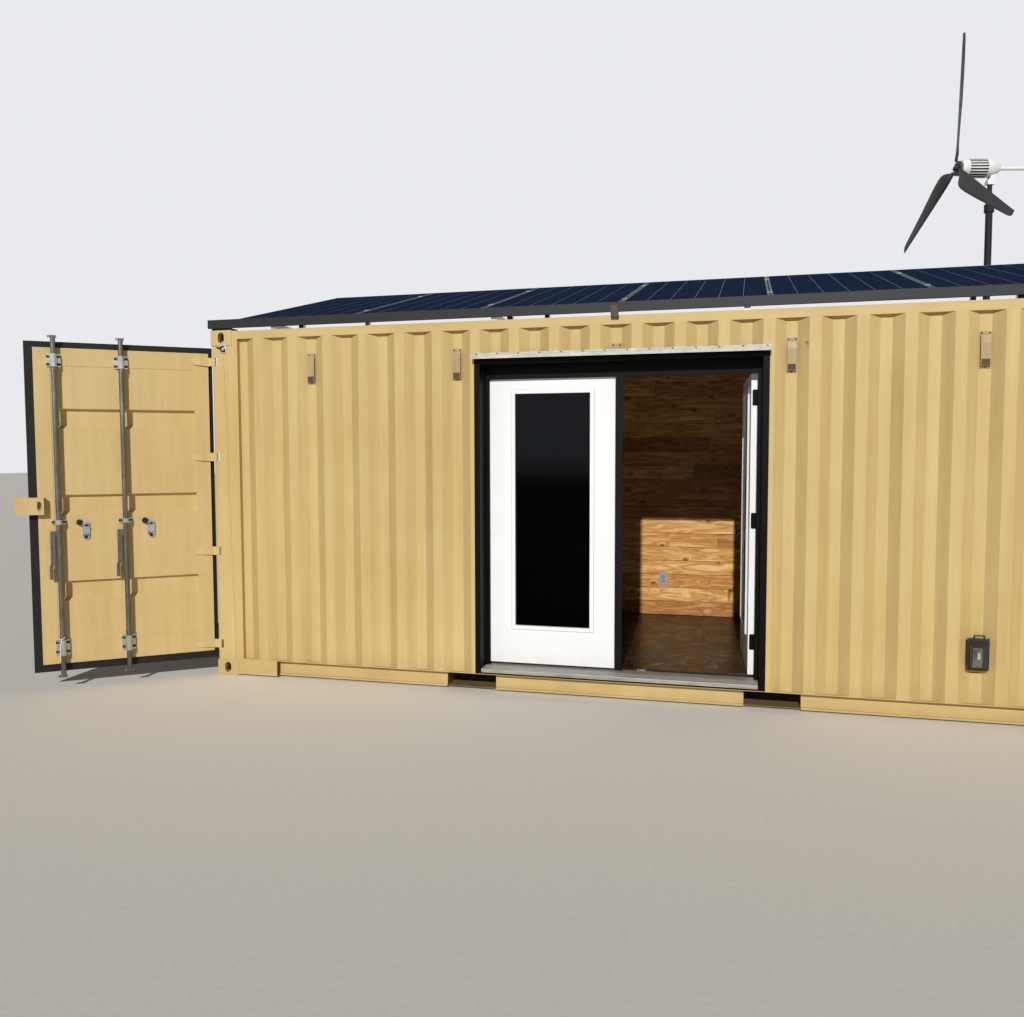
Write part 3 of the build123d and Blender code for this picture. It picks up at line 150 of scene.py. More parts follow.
def bump(tree, height, strength, depth, under=None):
    """Relief of this depth in metres, on top of another relief if one is given."""
    inputs = {"Height": height, "Strength": strength, "Distance": depth}
    if under:
        inputs["Normal"] = under
    return add(tree, "Bump", inputs)


def start_material(name):
    """New material, its empty tree, and the place on the object that its patterns read."""
    material = bpy.data.materials.new(name)
    material.use_nodes = True
    tree = material.node_tree
    tree.nodes.clear()
    return material, tree, add(tree, "TexCoord").outputs["Object"]


def surface(material, tree, colour, rough, relief=None, shine=0.5, metallic=0.0):
    """Give the material its finished surface. shine is the strength of its reflection."""
    inputs = {"Base Color": colour, "Roughness": rough, "Specular IOR Level": shine,
              "Metallic": metallic}
    if relief:
        inputs["Normal"] = relief
    add(tree, "OutputMaterial", {"Surface": add(tree, "BsdfPrincipled", inputs)})
    return material


def make_object(name, bm, material):
    """Object made of what bm holds, put into the scene."""
    mesh = bpy.data.meshes.new(name)
    bm.to_mesh(mesh)
    bm.free()
    mesh.materials.append(material)
    return stand(name, mesh)


floor_paint, tree, place = start_material("studio_floor")
grain = noise(tree, place, 25, 6)
tone = ramp(tree, grain, (0.3, "DFDCD6"), (0.7, "E6E3DD"))
surface(floor_paint, tree, tone, 0.9)
bm = bmesh.new()
bmesh.ops.create_grid(bm, x_segments=1, y_segments=1, size=FLOOR_HALF,
                      matrix=Matrix.Translation(FLOOR_MIDDLE))
make_object("studio_floor", bm, floor_paint)

sun_data = bpy.data.lights.new("key_light", "SUN")
sun_data.energy = KEY_LIGHT
sun_data.angle = math.radians(KEY_SPREAD)
sun_data.color = KEY_COLOUR
sun = stand("key_light", sun_data)
sun.rotation_euler = (math.radians(KEY_LEAN), 0.0, math.radians(KEY_SIDE))
world = bpy.data.worlds.new("surround")
world.use_nodes = True
tree = world.node_tree
tree.nodes.clear()
rays = add(tree, "LightPath").outputs
seen = calc(tree, "MAXIMUM", rays["Is Camera Ray"], rays["Is Glossy Ray"])
seen = calc(tree, "MAXIMUM", seen, rays["Is Transmission Ray"])
strength = calc(tree, "MULTIPLY_ADD", seen, SEEN_LIGHT - FILL_LIGHT, FILL_LIGHT)
sky = add(tree, "Background", {"Color": "F1F3F6", "Strength": strength})
add(tree, "OutputWorld", {"Surface": sky})
bpy.context.scene.world = world
bpy.context.scene.view_settings.view_transform = "Standard"

# Container steel: rails, posts, castings and walls share one thick tan alkyd enamel, rolled
# on over the welds. It dries to a semi-gloss film with a fine orange peel, is faintly
# streaked downwards by rain, and is dusty near the ground.
GRIT_TAN, ROAD_DUST, RUST, SCRATCHED = "A98B55", "7C6848", "6E4524", "6B532E"
SCRATCH_X, SCRATCH_LEAN = 0.115, -0.025
SCRATCH_WANDER, SCRATCH_HALF = 0.05, 0.0018


def container_paint(name, low="C0A46A", middle="CAB077", high="D4BB82", dirt=0.3,
                    streaks=(69.44, 69.44, 1250), marks=None):
    """Alkyd enamel between three tones, with streaks of these sizes. marks may add to the
    colour: it gets the tree, place and colour. The real grit and orange peel are 1 to 2 mm
    wide and are drawn coarser, so that they show."""
    material, tree, place = start_material(name)
    cloud = noise(tree, place, 1111, 5, 0.6)
    streak = noise(tree, place, streaks, 5, 0.65)
    mixed = add(tree, "Mix", {0: 0.5, 2: cloud, 3: streak})
    colour = ramp(tree, mixed, (0.33, low), (0.5, middle), (0.68, high))
    grit = noise(tree, place, 3.846, 2, 0.7)
    grit = ramp(tree, grit, (0.50, 0.0), (0.75, 0.26))
    colour = tint(tree, grit, colour, GRIT_TAN)
    height = add(tree, "SeparateXYZ", {0: place}).outputs["Z"]
    low_down = ramp(tree, height, (0.0, 1.0), (0.40, 0.0))
    dust = noise(tree, place, 142.9, 6, 0.7)
    dust = calc(tree, "MULTIPLY", dust, low_down)
    dust = ramp(tree, dust, (0.18, 0.0), (0.6, dirt))
    colour = tint(tree, dust, colour, ROAD_DUST)
    speck = noise(tree, place, 21.74, 3, 0.6)
    patch = noise(tree, place, 434.8, 2)
    rust = calc(tree, "MULTIPLY", speck, patch)
    rust = ramp(tree, rust, (0.47, 0.0), (0.50, 0.7))
    colour = tint(tree, rust, colour, RUST)
    if marks:
        colour = marks(tree, place, colour)
    dents = noise(tree, place, 312.5, 2, 0.4)
    dents = bump(tree, dents, 0.25, 0.004)
    peel = noise(tree, place, 6.667, 3)
    peel = bump(tree, peel, 0.22, 0.0012, dents)
    gloss = noise(tree, place, 83.33, 5)
    gloss = ramp(tree, gloss, (0.3, 0.42), (0.7, 0.58))
    return surface(material, tree, colour, gloss, peel, shine=0.35)


def post_scratch(tree, place, colour):
    """One long thin scratch that wanders down the post beside the near cargo leaf."""
    parts = add(tree, "SeparateXYZ", {0: place}).outputs
    down = add(tree, "Mapping", {"Vector": place, "Scale": (0.0, 0.0, 1.0)})
    wander = noise(tree, down, 526.3, 2)
    middle = calc(tree, "MULTIPLY_ADD", parts["Z"], SCRATCH_LEAN, SCRATCH_X)
    middle = calc(tree, "MULTIPLY_ADD", wander, SCRATCH_WANDER, middle)
    line = calc(tree, "COMPARE", parts["X"], middle, SCRATCH_HALF)
    front = calc(tree, "LESS_THAN", parts["Y"], 0.0)
    line = calc(tree, "MULTIPLY", line, front)
    broken = noise(tree, down, 71.43, 3)
    broken = ramp(tree, broken, (0.38, 0.15), (0.6, 0.75))
    line = calc(tree, "MULTIPLY", line, broken)
    return tint(tree, line, colour, SCRATCHED)


def fold_shade(tree, place, colour):
    """Painted shade: the wall's folds are darkened by the way each slope faces, more on their
    left slopes than on their right ones.
    """
    facing = add(tree, "SeparateXYZ", {0: add(tree, "TexCoord").outputs["Normal"]})
    facing = calc(tree, "MULTIPLY_ADD", facing, 0.5, 0.5)
    # Painted shade: tone 0.85 on slopes facing -X, 0.95 on slopes facing +X, 1 on the flats.
    film = ramp(tree, facing, (0.28, 0.85), (0.45, 1.0), (0.55, 1.0), (0.72, 0.95))
    return tint(tree, 1.0, colour, film, "MULTIPLY")


def dress(material, *names):
    """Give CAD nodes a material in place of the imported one."""
    for name in names:
        mesh = nodes[name].data
        mesh.materials.clear()
        mesh.materials.append(material)


tan_paint = container_paint("tan_enamel")
wall_paint = container_paint("tan_enamel_walls", marks=fold_shade)
rail_paint = container_paint("tan_enamel_rails", dirt=0.25, streaks=(1042, 69.44, 89.29))
leaf_paint = container_paint("tan_enamel_leaf", low="C7AB72", middle="D2B77F", high="DCC28C",
                             dirt=0.15)
# Painted shade: the underframe's tones are the tan enamel's at about half brightness, standing
# for the shade under the floor. Its heavy road dust is dirt.
shaded_underside_paint = container_paint("tan_enamel_shaded_underside", low="5C4E36", middle="6E5E42",
                              high="82704E", dirt=0.9, streaks=(312.5, 312.5, 312.5))
dress(tan_paint, "corner_castings_top", "end_wall")
dress(wall_paint, "front_wall_left", "front_wall_right", "front_wall_over_door", "back_wall")
dress(container_paint("tan_enamel_posts", marks=post_scratch), "corner_posts")
dress(leaf_paint, "near_leaf_panel", "near_leaf_hinge_blades", "lock_box", "far_leaf_panel",
      "hinge_lugs", "cam_keepers")
dress(rail_paint, "corner_castings_bottom", "bottom_side_rails", "top_side_rails", "end_beams",
      "roof_sheet")
dress(shaded_underside_paint, "floor_joists", "fork_pockets")

# Wall vents: pressed steel covers on screwed plates, in weathered greyer paint. Screws hold
# each plate, two above and one below. Thin dark sheets in the mouth under each cover and along
# its sides are painted shade.
VENT_XS = (-2224.0, -1112.0, 0.0, 1112.0, 2224.0)
VENT_TOP, VENT_FOOT = 2400.0, 2177.0
VENT_PLATE, VENT_COVER = 1180.0, 1197.0
VENT_HALF, MOUTH_HALF = 28.0, 24.0
SHADE_SHEET = 0.7
WASHER_R, WASHER_H, CROWN_R, CROWN_FOOT = 1.45, 0.15, 0.75, 0.85


def add_block(bm, corner, opposite, bevel=0.0, segments=1):
    """Box between two opposite corners, with eased edges, into bm."""
    corner, opposite = Vector(corner), Vector(opposite)
    size = [abs(side) for side in opposite - corner]
    place = Matrix.Translation((corner + opposite) / 2) @ Matrix.Diagonal((*size, 1.0))
    made = bmesh.ops.create_cube(bm, size=1.0, matrix=place)
    if bevel > 0.0:
        edges = list(dict.fromkeys(edge for vert in made["verts"] for edge in vert.link_edges))
        bmesh.ops.bevel(bm, geom=edges, offset=bevel, segments=segments, profile=0.5,
                        affect="EDGES", material=-1)


def add_rod(bm, start, end, radius, tip=None, sides=16):
    """Round bar or cone from start to end, into bm."""
    start, end = Vector(start), Vector(end)
    turn = (end - start).to_track_quat("Z", "Y").to_matrix().to_4x4()
    bmesh.ops.create_cone(bm, cap_ends=True, segments=sides, radius1=radius,
                          radius2=radius if tip is None else tip, depth=(end - start).length,
                          matrix=Matrix.Translation((start + end) / 2) @ turn)


def add_bolt(bm, seat, out, radius, height):
    """Washer, six-sided head and its crown, standing on seat and pointing along out. Their
    proportions are in parts of the head's radius and height."""
    seat, out = Vector(seat), Vector(out)
    shoulder = seat + CROWN_FOOT * height * out
    add_rod(bm, seat - out, seat + WASHER_H * height * out, WASHER_R * radius)
    add_rod(bm, seat, shoulder, radius, sides=6)
    add_rod(bm, shoulder, seat + height * out, radius, CROWN_R * radius, 6)


def piece(name, bm, body, material, smooth=False, millimetres=True):
    """Turn bm into an object of the model that moves with body. A bm in millimetres is
    measured from the container's ground centre."""
    if millimetres:
        place = Matrix.Scale(0.001, 4) @ Matrix.Translation(FOOT)
        bmesh.ops.transform(bm, matrix=place, verts=bm.verts)
    made = make_object(name, bm, material)
    if smooth:
        made.data.shade_smooth()
    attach(made, body)
    return made


def even_finish(name, low, high, rough, metallic=0.0):
    """Even surface, such as moulded plastic, thin paint or dull plate, between two tones
    with soft clouds of dirt. Its grain is under 1 mm and is drawn coarser to show."""
    material, tree, place = start_material(name)
    soft = noise(tree, place, 71.43, 6, 0.65)
    colour = ramp(tree, soft, (0.32, low), (0.68, high))
    fine = noise(tree, place, 3.333, 2)
    fine = bump(tree, fine, 0.2, 0.0005)
    gloss = ramp(tree, soft, (0.3, rough - 0.05), (0.7, rough + 0.1))
    return surface(material, tree, colour, gloss, fine, metallic=metallic)


dress(container_paint("weathered_vent_enamel", low="988561", middle="A9956E", high="B8A47B",
                      dirt=0.1), "wall_vents")
# Dark steel: painted shade in the vents' mouths and sides, and the scrape mark on the wall
# under the outdoor outlet.
dark_shade_and_scrape = even_finish("painted_shade_and_scrape", "3E2E1C", "5A4630", 0.7)
old_steel = even_finish("darkened_steel", "2A2620", "4A4438", 0.5, 0.6)
screws, mouth_shade = bmesh.new(), bmesh.new()
for side in (-1, 1):
    plate, cover = side * VENT_PLATE, side * VENT_COVER
    for x in VENT_XS:
        for dx in (-22.0, 22.0):
            add_bolt(screws, (x + dx, plate, VENT_TOP - 11.0), (0, side, 0), 4.0, 3.0)
        if side < 0 and x == 0.0:
            # Over the doorway the drip cap covers the rest.
            continue
        add_bolt(screws, (x, plate, VENT_FOOT + 8.0), (0, side, 0), 4.0, 3.0)
        # Painted shade: a dark sheet across the mouth under the cover, and dark strips on the
        # cover's two sides.
        add_block(mouth_shade, (x - MOUTH_HALF, cover, VENT_FOOT + 16.0),
                  (x + MOUTH_HALF, cover + side * 0.8, VENT_FOOT + 56.0))
        for flank in (-VENT_HALF, VENT_HALF):
            add_block(mouth_shade, (x + flank, plate + side * 2.0, VENT_FOOT + 20.0),
                      (x + flank + math.copysign(SHADE_SHEET, flank), cover - side * 2.0,
                       VENT_TOP - 34.0))
piece("vent_screws", screws, "cabin", old_steel)
piece("vent_mouth_shade", mouth_shade, "cabin", dark_shade_and_scrape)

# Hasp: a zinc-plated steel plate hung in the near top casting's slot, stained and dull. A
# hook bent from blackened bar goes through it and is bolted to it.
HASP_FACE = -1222.0
HOOK_EYE = Vector((-2925.0, -1227.0, 2450.0))
HOOK_BEND, HOOK_BAR = 18.0, 5.0


def bend_wire(bm, centre, axis, degrees, steps, ring=False):
    """Bend the circle that bm holds round centre into a wire or a closed ring, close its
    ends or its seam, and turn its faces outwards."""
    bmesh.ops.spin(bm, geom=bm.verts[:] + bm.edges[:], cent=centre, axis=axis,
                   angle=math.radians(degrees), steps=steps, use_merge=ring)
    bmesh.ops.remove_doubles(bm, verts=bm.verts, dist=0.01)
    bmesh.ops.holes_fill(bm, edges=[edge for edge in bm.edges if edge.is_boundary])
    bmesh.ops.recalc_face_normals(bm, faces=bm.faces)


zinc_marked = even_finish("zinc_plate_stained", "B9B9B2", "E4E4DE", 0.3, 0.9)
black_steel = even_finish("blackened_steel", "0D0D0D", "1F1E1C", 0.45, 0.3)
hasp = bmesh.new()
add_block(hasp, (-2950.0, HASP_FACE, 2420.0), (-2900.0, HASP_FACE + 10.0, 2486.0), 2.5, 2)
add_block(hasp, (-2934.0, HASP_FACE, 2484.0), (-2918.0, HASP_FACE + 6.0, 2505.0), 2.0, 2)
piece("casting_hasp", hasp, "cabin", zinc_marked)
hook = bmesh.new()
bmesh.ops.create_circle(hook, segments=8, radius=HOOK_BAR,
                        matrix=Matrix.Translation(HOOK_EYE + Vector((HOOK_BEND, 0.0, 0.0))))
bend_wire(hook, HOOK_EYE, (0, 1, 0), 300.0, 18)
add_rod(hook, HOOK_EYE + Vector((-17.0, 0.0, 6.0)), HOOK_EYE + Vector((-55.0, 0.0, 16.0)),
        HOOK_BAR, 3.0)
add_bolt(hook, (-2912.0, HASP_FACE, 2432.0), (0, -1, 0), 6.0, 5.0)
piece("hasp_hook", hook, "cabin", black_steel, True)

# Stand-off under the middle of the fascia: a strip of 3 mm steel folded to an angle, with
# two bolts. Weather has turned it a dull brown grey.
STRIP_LEFT, STRIP_RIGHT = -32.0, 20.0
STRIP_FACE, STRIP_FOOT = -1243.0, 2563.0
STRIP_STEEL = 3.0
strip = bmesh.new()
add_block(strip, (STRIP_LEFT, STRIP_FACE, STRIP_FOOT + STRIP_STEEL),
          (STRIP_RIGHT, STRIP_FACE + STRIP_STEEL, 2644.0), 1.0)
add_block(strip, (STRIP_LEFT, STRIP_FACE, STRIP_FOOT),
          (STRIP_RIGHT, -1211.0, STRIP_FOOT + STRIP_STEEL), 1.0)
for x in (-20.0, 8.0):
    add_bolt(strip, (x, STRIP_FACE, 2628.0), (0, -1, 0), 5.0, 4.0)
piece("fascia_stand_off", strip, "cabin",
      even_finish("weathered_steel", "3A332D", "5B524A", 0.65, 0.3))

# Doorway: a frame of welded steel tube with board jambs set in it, all under brushed-on
# black enamel. It is deep and nearly clean, with a thin film of dust and a few scuffs.


def black_paint(name, base="060606", dust="24231F", amount=0.15, rough=0.45):
    """Brushed enamel. Its brush marks, under 2 mm wide, are drawn coarser to show."""
    material, tree, place = start_material(name)
    soft = noise(tree, place, (92.59, 92.59, 463), 6, 0.6)
    film = ramp(tree, soft, (0.42, 0.0), (0.8, amount))
    colour = tint(tree, film, base, dust)
    scuff = noise(tree, place, (13.333, 13.333, 133.33), 4, 0.8, 1.5)
    scuff = ramp(tree, scuff, (0.70, 0.0), (0.76, 0.3))
    colour = tint(tree, scuff, colour, "5C5852")
    fine = noise(tree, place, 5.263, 3)
    fine = bump(tree, fine, 0.2, 0.0008)
    gloss = ramp(tree, soft, (0.3, rough - 0.07), (0.8, rough + 0.18))
    return surface(material, tree, colour, gloss, fine, shine=0.09)


frame_black = black_paint("black_enamel")
fitting_black = black_paint("black_hardware", base="080808", amount=0.12, rough=0.35)
dress(frame_black, "doorway_frame", "door_jambs")
dress(fitting_black, "left_leaf_hinges", "right_leaf_hinges", "right_leaf_lever")
dress(black_paint("grey_edge_seal", base="121212", dust="33312E", rough=0.5), "astragal")

# Drip cap: steel sheet with a white baked coat, folded over the doorway and screwed through
# its upstand. The coat has weathered to a pale grey with soft clouds.
CAP_SCREWS, CAP_SCREW_PITCH = 14, 148.0
CAP_FACE, CAP_SCREW_Z = -1216.0, 2351.0
dress(even_finish("white_coil_coat", "AEADA6", "D2D1CA", 0.42), "drip_cap")
cap_screws = bmesh.new()
for k in range(CAP_SCREWS):
    x = (k - (CAP_SCREWS - 1) / 2) * CAP_SCREW_PITCH
    add_bolt(cap_screws, (x, CAP_FACE, CAP_SCREW_Z), (0, -1, 0), 4.5, 4.0)
piece("drip_cap_screws", cap_screws, "cabin", old_steel)

# White leaves: pressed steel skins and moulded glazing frames under one smooth sprayed
# acrylic. It is satin and even, and faintly greyed low down, where boots and rain reach.


def white_paint(name):
    """Sprayed acrylic. Its orange peel of 2 mm is drawn coarser, so that it shows."""
    material, tree, place = start_material(name)
    soft = noise(tree, place, 454.5, 5, 0.6)
    colour = ramp(tree, soft, (0.3, "EDEFF0"), (0.7, "F2F4F5"))
    height = add(tree, "SeparateXYZ", {0: place}).outputs["Z"]
    low = ramp(tree, height, (0.18, 1.0), (0.42, 0.0))
    smear = noise(tree, place, 62.5, 6, 0.7)
    smear = calc(tree, "MULTIPLY", smear, low)
    smear = ramp(tree, smear, (0.3, 0.0), (0.75, 0.3))
    colour = tint(tree, smear, colour, "B9B4A8")
    fine = noise(tree, place, 8.333, 3)
    fine = bump(tree, fine, 0.12, 0.0006)
    return surface(material, tree, colour, 0.34, fine)


dress(white_paint("white_acrylic"), "left_leaf_slab", "left_leaf_lite_frame",
      "right_leaf_slab", "right_leaf_lite_frame")

# Glazing: clear insulated float glass, bedded in the leaves' frames. It shows the dark room
# and mirrors a little, with painted reflection: the mirroring is strong near the top and weak
# low down, standing for bright sky above and dark ground below.


def clear_glass(name):
    """Float glass with its slight waves and faint smears. Each face of the pane lets about a
    sixth of the light through, so that the room behind stays dark."""
    material, tree, place = start_material(name)
    smear = noise(tree, place, (100, 100, 333.3), 5, 0.7)
    rough = ramp(tree, smear, (0.45, 0.01), (0.85, 0.09))
    wave = noise(tree, place, 588.2, 1)
    wave = bump(tree, wave, 0.02, 0.01)
    through = add(tree, "BsdfTransparent", {"Color": "6B767A"})
    mirror = add(tree, "BsdfGlossy", {"Color": "A9B2BC", "Roughness": rough, "Normal": wave})
    edge = add(tree, "Fresnel", {"IOR": 1.45, "Normal": wave})
    # Painted reflection: the mirroring is weak below about 1.44 m and full above about 1.68 m.
    height = add(tree, "SeparateXYZ", {0: place}).outputs["Z"]
    height = calc(tree, "MULTIPLY", height, 0.5)
    painted_reflection_fade = ramp(tree, height, (0.72, 0.12), (0.84, 1.0))
    edge = calc(tree, "MULTIPLY", edge, painted_reflection_fade)
    shader = add(tree, "MixShader", {0: edge, 1: through, 2: mirror})
    add(tree, "OutputMaterial", {"Surface": shader})
    return material


dress(clear_glass("insulated_glass"), "left_leaf_glass", "right_leaf_glass")

# Seals: extruded black rubber round the cargo leaves and as three-finned sweeps under the
# glazed ones. The right leaf's sweep is made with it shut, then turned to where it stands.
RIGHT_PIN = Vector((918.5, -1010.0, 0.0))
RIGHT_OPEN = math.radians(-86.5)
SWEEP_FINS, FIN_HALF = (-1048.0, -1038.0, -1028.0), 3.0
SWEEP_START, SWEEP_END = 20.0, 908.0
SWEEP_LOW, SWEEP_HIGH = 181.5, 187.0


def black_rubber(name):
    """Dull rubber with dust in its skin, whose 1 mm texture is drawn coarser to show."""
    material, tree, place = start_material(name)
    dust = noise(tree, place, 41.67, 6, 0.7)
    dust = ramp(tree, dust, (0.5, 0.0), (0.85, 0.25))
    colour = tint(tree, dust, "111111", "45423C")
    fine = noise(tree, place, 4.762, 2)
    fine = bump(tree, fine, 0.25, 0.0008)
    return surface(material, tree, colour, 0.68, fine, shine=0.3)


def swing(bm, pin, angle):
    """Turn what bm holds about an upright pin."""
    bmesh.ops.rotate(bm, verts=bm.verts, cent=pin, matrix=Matrix.Rotation(angle, 3, "Z"))


rubber = black_rubber("extruded_rubber")
dress(rubber, "near_leaf_seal", "far_leaf_seal")
for side, body in ((-1, "left_leaf"), (1, "right_leaf")):
    sweep = bmesh.new()
    for y in SWEEP_FINS:
        add_block(sweep, (side * SWEEP_START, y - FIN_HALF, SWEEP_LOW),
                  (side * SWEEP_END, y + FIN_HALF, SWEEP_HIGH), 1.0)
    if side > 0:
        swing(sweep, RIGHT_PIN, RIGHT_OPEN)
    piece(body + "_sweep", sweep, body, rubber)

# Lock gear: hot-dip galvanised rods, drawn so that they streak lengthwise, with collars, in
# brackets of bright zinc plate bolted to the cargo leaf. The leaf's sheet is welded to its
# edge and sill. All is made with the leaf shut, then turned to where it stands.
CARGO_PIN = Vector((-3010.0, -1203.0, 0.0))
CARGO_OPEN = math.radians(129.0)
LEAF_FACE = -2975.0
ROD_X = -3010.0
NEAR_RODS = (-130.0, -563.0)
GUIDES = ((300.0, 110.0), (1195.0, 32.0), (2330.0, 90.0))
CATCH_OFF, CATCH_Z, CATCH_HALF, CATCH_REACH = 172.0, 1130.0, 25.0, 42.0
COLLARS, COLLAR_HALF, COLLAR_R = (380.0, 2262.0), 6.0, 21.0
WELD_END, WELD_FOOT, WELD_TOP = -98.0, 326.0, 2372.0


def zinc_coat(name, dark, light, rough, grain=(11.111, 11.111, 555.6)):
    """Zinc over steel: soft clouds, and streaks along the part where it was drawn."""
    material, tree, place = start_material(name)
    streak = noise(tree, place, grain, 5, 0.6)
    cloud = noise(tree, place, 111.1, 5, 0.6)
    mixed = add(tree, "Mix", {0: 0.4, 2: streak, 3: cloud})
    colour = ramp(tree, mixed, (0.3, dark), (0.7, light))
    gloss = ramp(tree, mixed, (0.2, rough - 0.08), (0.8, rough + 0.1))
    fine = bump(tree, streak, 0.15, 0.0006)
    return surface(material, tree, colour, gloss, fine, metallic=0.92)


galvanised = zinc_coat("galvanised_steel", "4A4A45", "94948E", 0.30)
zinc_plate = zinc_coat("zinc_plate", "A9ABA9", "DCDEDA", 0.28, (83.33, 83.33, 83.33))
dress(galvanised, "outer_lock_rod", "inner_lock_rod", "far_leaf_lock_gear")
dress(zinc_plate, "near_leaf_rod_brackets")
bolts, plates, knobs = bmesh.new(), bmesh.new(), bmesh.new()
for y in NEAR_RODS:
    for z, height in GUIDES:
        rows = (0.0,) if height < 60.0 else (-0.30 * height, 0.30 * height)
        for dz in rows:
            for dy in (-37.5, 37.5):
                add_bolt(bolts, (LEAF_FACE - 8.0, y + dy, z + dz), (-1, 0, 0), 6.5, 9.0)
    plate = y - CATCH_OFF
    for z in (CATCH_Z - CATCH_REACH, CATCH_Z + CATCH_REACH):
        add_rod(plates, (LEAF_FACE + 4.0, plate, z), (LEAF_FACE - 6.0, plate, z), CATCH_HALF,
                sides=28)
        add_bolt(knobs, (LEAF_FACE - 6.0, plate, z - 6.0), (-1, 0, 0), 9.0, 8.0)
    add_block(plates, (LEAF_FACE - 6.0, plate - CATCH_HALF, CATCH_Z - CATCH_REACH),
              (LEAF_FACE + 4.0, plate + CATCH_HALF, CATCH_Z + CATCH_REACH))
    add_block(plates, (LEAF_FACE - 14.0, plate - 4.0, CATCH_Z + 40.0),
              (LEAF_FACE - 6.0, plate + 42.0, CATCH_Z + 56.0), 2.0)
    add_rod(knobs, (LEAF_FACE - 8.0, plate + 40.0, CATCH_Z + 58.0),
            (LEAF_FACE - 30.0, plate + 40.0, CATCH_Z + 58.0), 22.0, 19.0, 24)
for bm in (bolts, plates, knobs):
    swing(bm, CARGO_PIN, CARGO_OPEN)
piece("bracket_bolts", bolts, "near_cargo_leaf", old_steel)
piece("catch_plates", plates, "near_cargo_leaf", zinc_plate)
piece("catch_knobs", knobs, "near_cargo_leaf", black_steel)
weld = bmesh.new()
add_block(weld, (LEAF_FACE - 2.0, WELD_END - 6.0, WELD_FOOT + 4.0),
          (LEAF_FACE + 1.0, WELD_END, WELD_TOP), 1.0)
add_block(weld, (LEAF_FACE - 2.0, -1080.0, WELD_FOOT),
          (LEAF_FACE + 1.0, WELD_END, WELD_FOOT + 6.0), 1.0)
swing(weld, CARGO_PIN, CARGO_OPEN)
piece("leaf_sheet_welds", weld, "near_cargo_leaf", leaf_paint)
for y, body in zip(NEAR_RODS, ("outer_rod", "inner_rod")):
    collar = bmesh.new()
    for z in COLLARS:
        add_rod(collar, (ROD_X, y, z - COLLAR_HALF), (ROD_X, y, z + COLLAR_HALF), COLLAR_R,
                sides=28)
    swing(collar, CARGO_PIN, CARGO_OPEN)
    piece(body + "_collars", collar, body, galvanised)

# Padlock shackle behind the lock box's window, bent from zinc-plated bar, and a white nylon
# tie round the outer rod above its lowest bracket, pulled tight, its tail hanging.
SHACKLE = Vector((-3018.0, -11.0, 1300.0))
SHACKLE_BEND, SHACKLE_BAR = 12.0, 4.0
TIE = Vector((ROD_X, NEAR_RODS[0], 366.0))
TIE_BEND, TIE_CORD = 21.0, 2.6
TIE_TAIL = (Vector((-20.0, 4.0, 0.0)), Vector((-30.0, 16.0, -66.0)),
            Vector((-32.0, 14.0, -161.0)))
shackle = bmesh.new()
foot = SHACKLE + Vector((0.0, SHACKLE_BEND, 0.0))
bmesh.ops.create_circle(shackle, segments=10, radius=SHACKLE_BAR,
                        matrix=Matrix.Translation(foot))
bend_wire(shackle, SHACKLE, (1, 0, 0), -180.0, 14)
add_rod(shackle, foot, foot + Vector((0.0, 0.0, 40.0)), SHACKLE_BAR)
swing(shackle, CARGO_PIN, CARGO_OPEN)
piece("padlock_shackle", shackle, "near_cargo_leaf", zinc_plate, True)
tie = bmesh.new()
place = Matrix.Translation(TIE + Vector((TIE_BEND, 0.0, 0.0)))
bmesh.ops.create_circle(tie, segments=8, radius=TIE_CORD,
                        matrix=place @ Matrix.Rotation(math.radians(90), 4, "X"))
bend_wire(tie, TIE, (0.0, 0.35, 1.0), 360.0, 28, True)
add_rod(tie, TIE + TIE_TAIL[0], TIE + TIE_TAIL[1], TIE_CORD)
add_rod(tie, TIE + TIE_TAIL[1], TIE + TIE_TAIL[2], TIE_CORD, 1.6)
swing(tie, CARGO_PIN, CARGO_OPEN)
piece("white_tie", tie, "near_cargo_leaf",
      even_finish("white_nylon", "D9D9D4", "F2F2EE", 0.4))

# Room lining: varnished pine boards nailed level on every wall and the ceiling, each a
# plank of its own with eased edges and staggered ends, on a thin backing. Sizes in metres.
BOARD, BACKING = 0.127, 0.004
BOARD_GAP, BOARD_EASE, BOARD_PROUD = 0.003, 0.0028, 0.0008
FIRST_BOARD, NEXT_BOARDS, LEAST_OFFCUT = (0.5, 2.4), (1.6, 3.0), 0.3


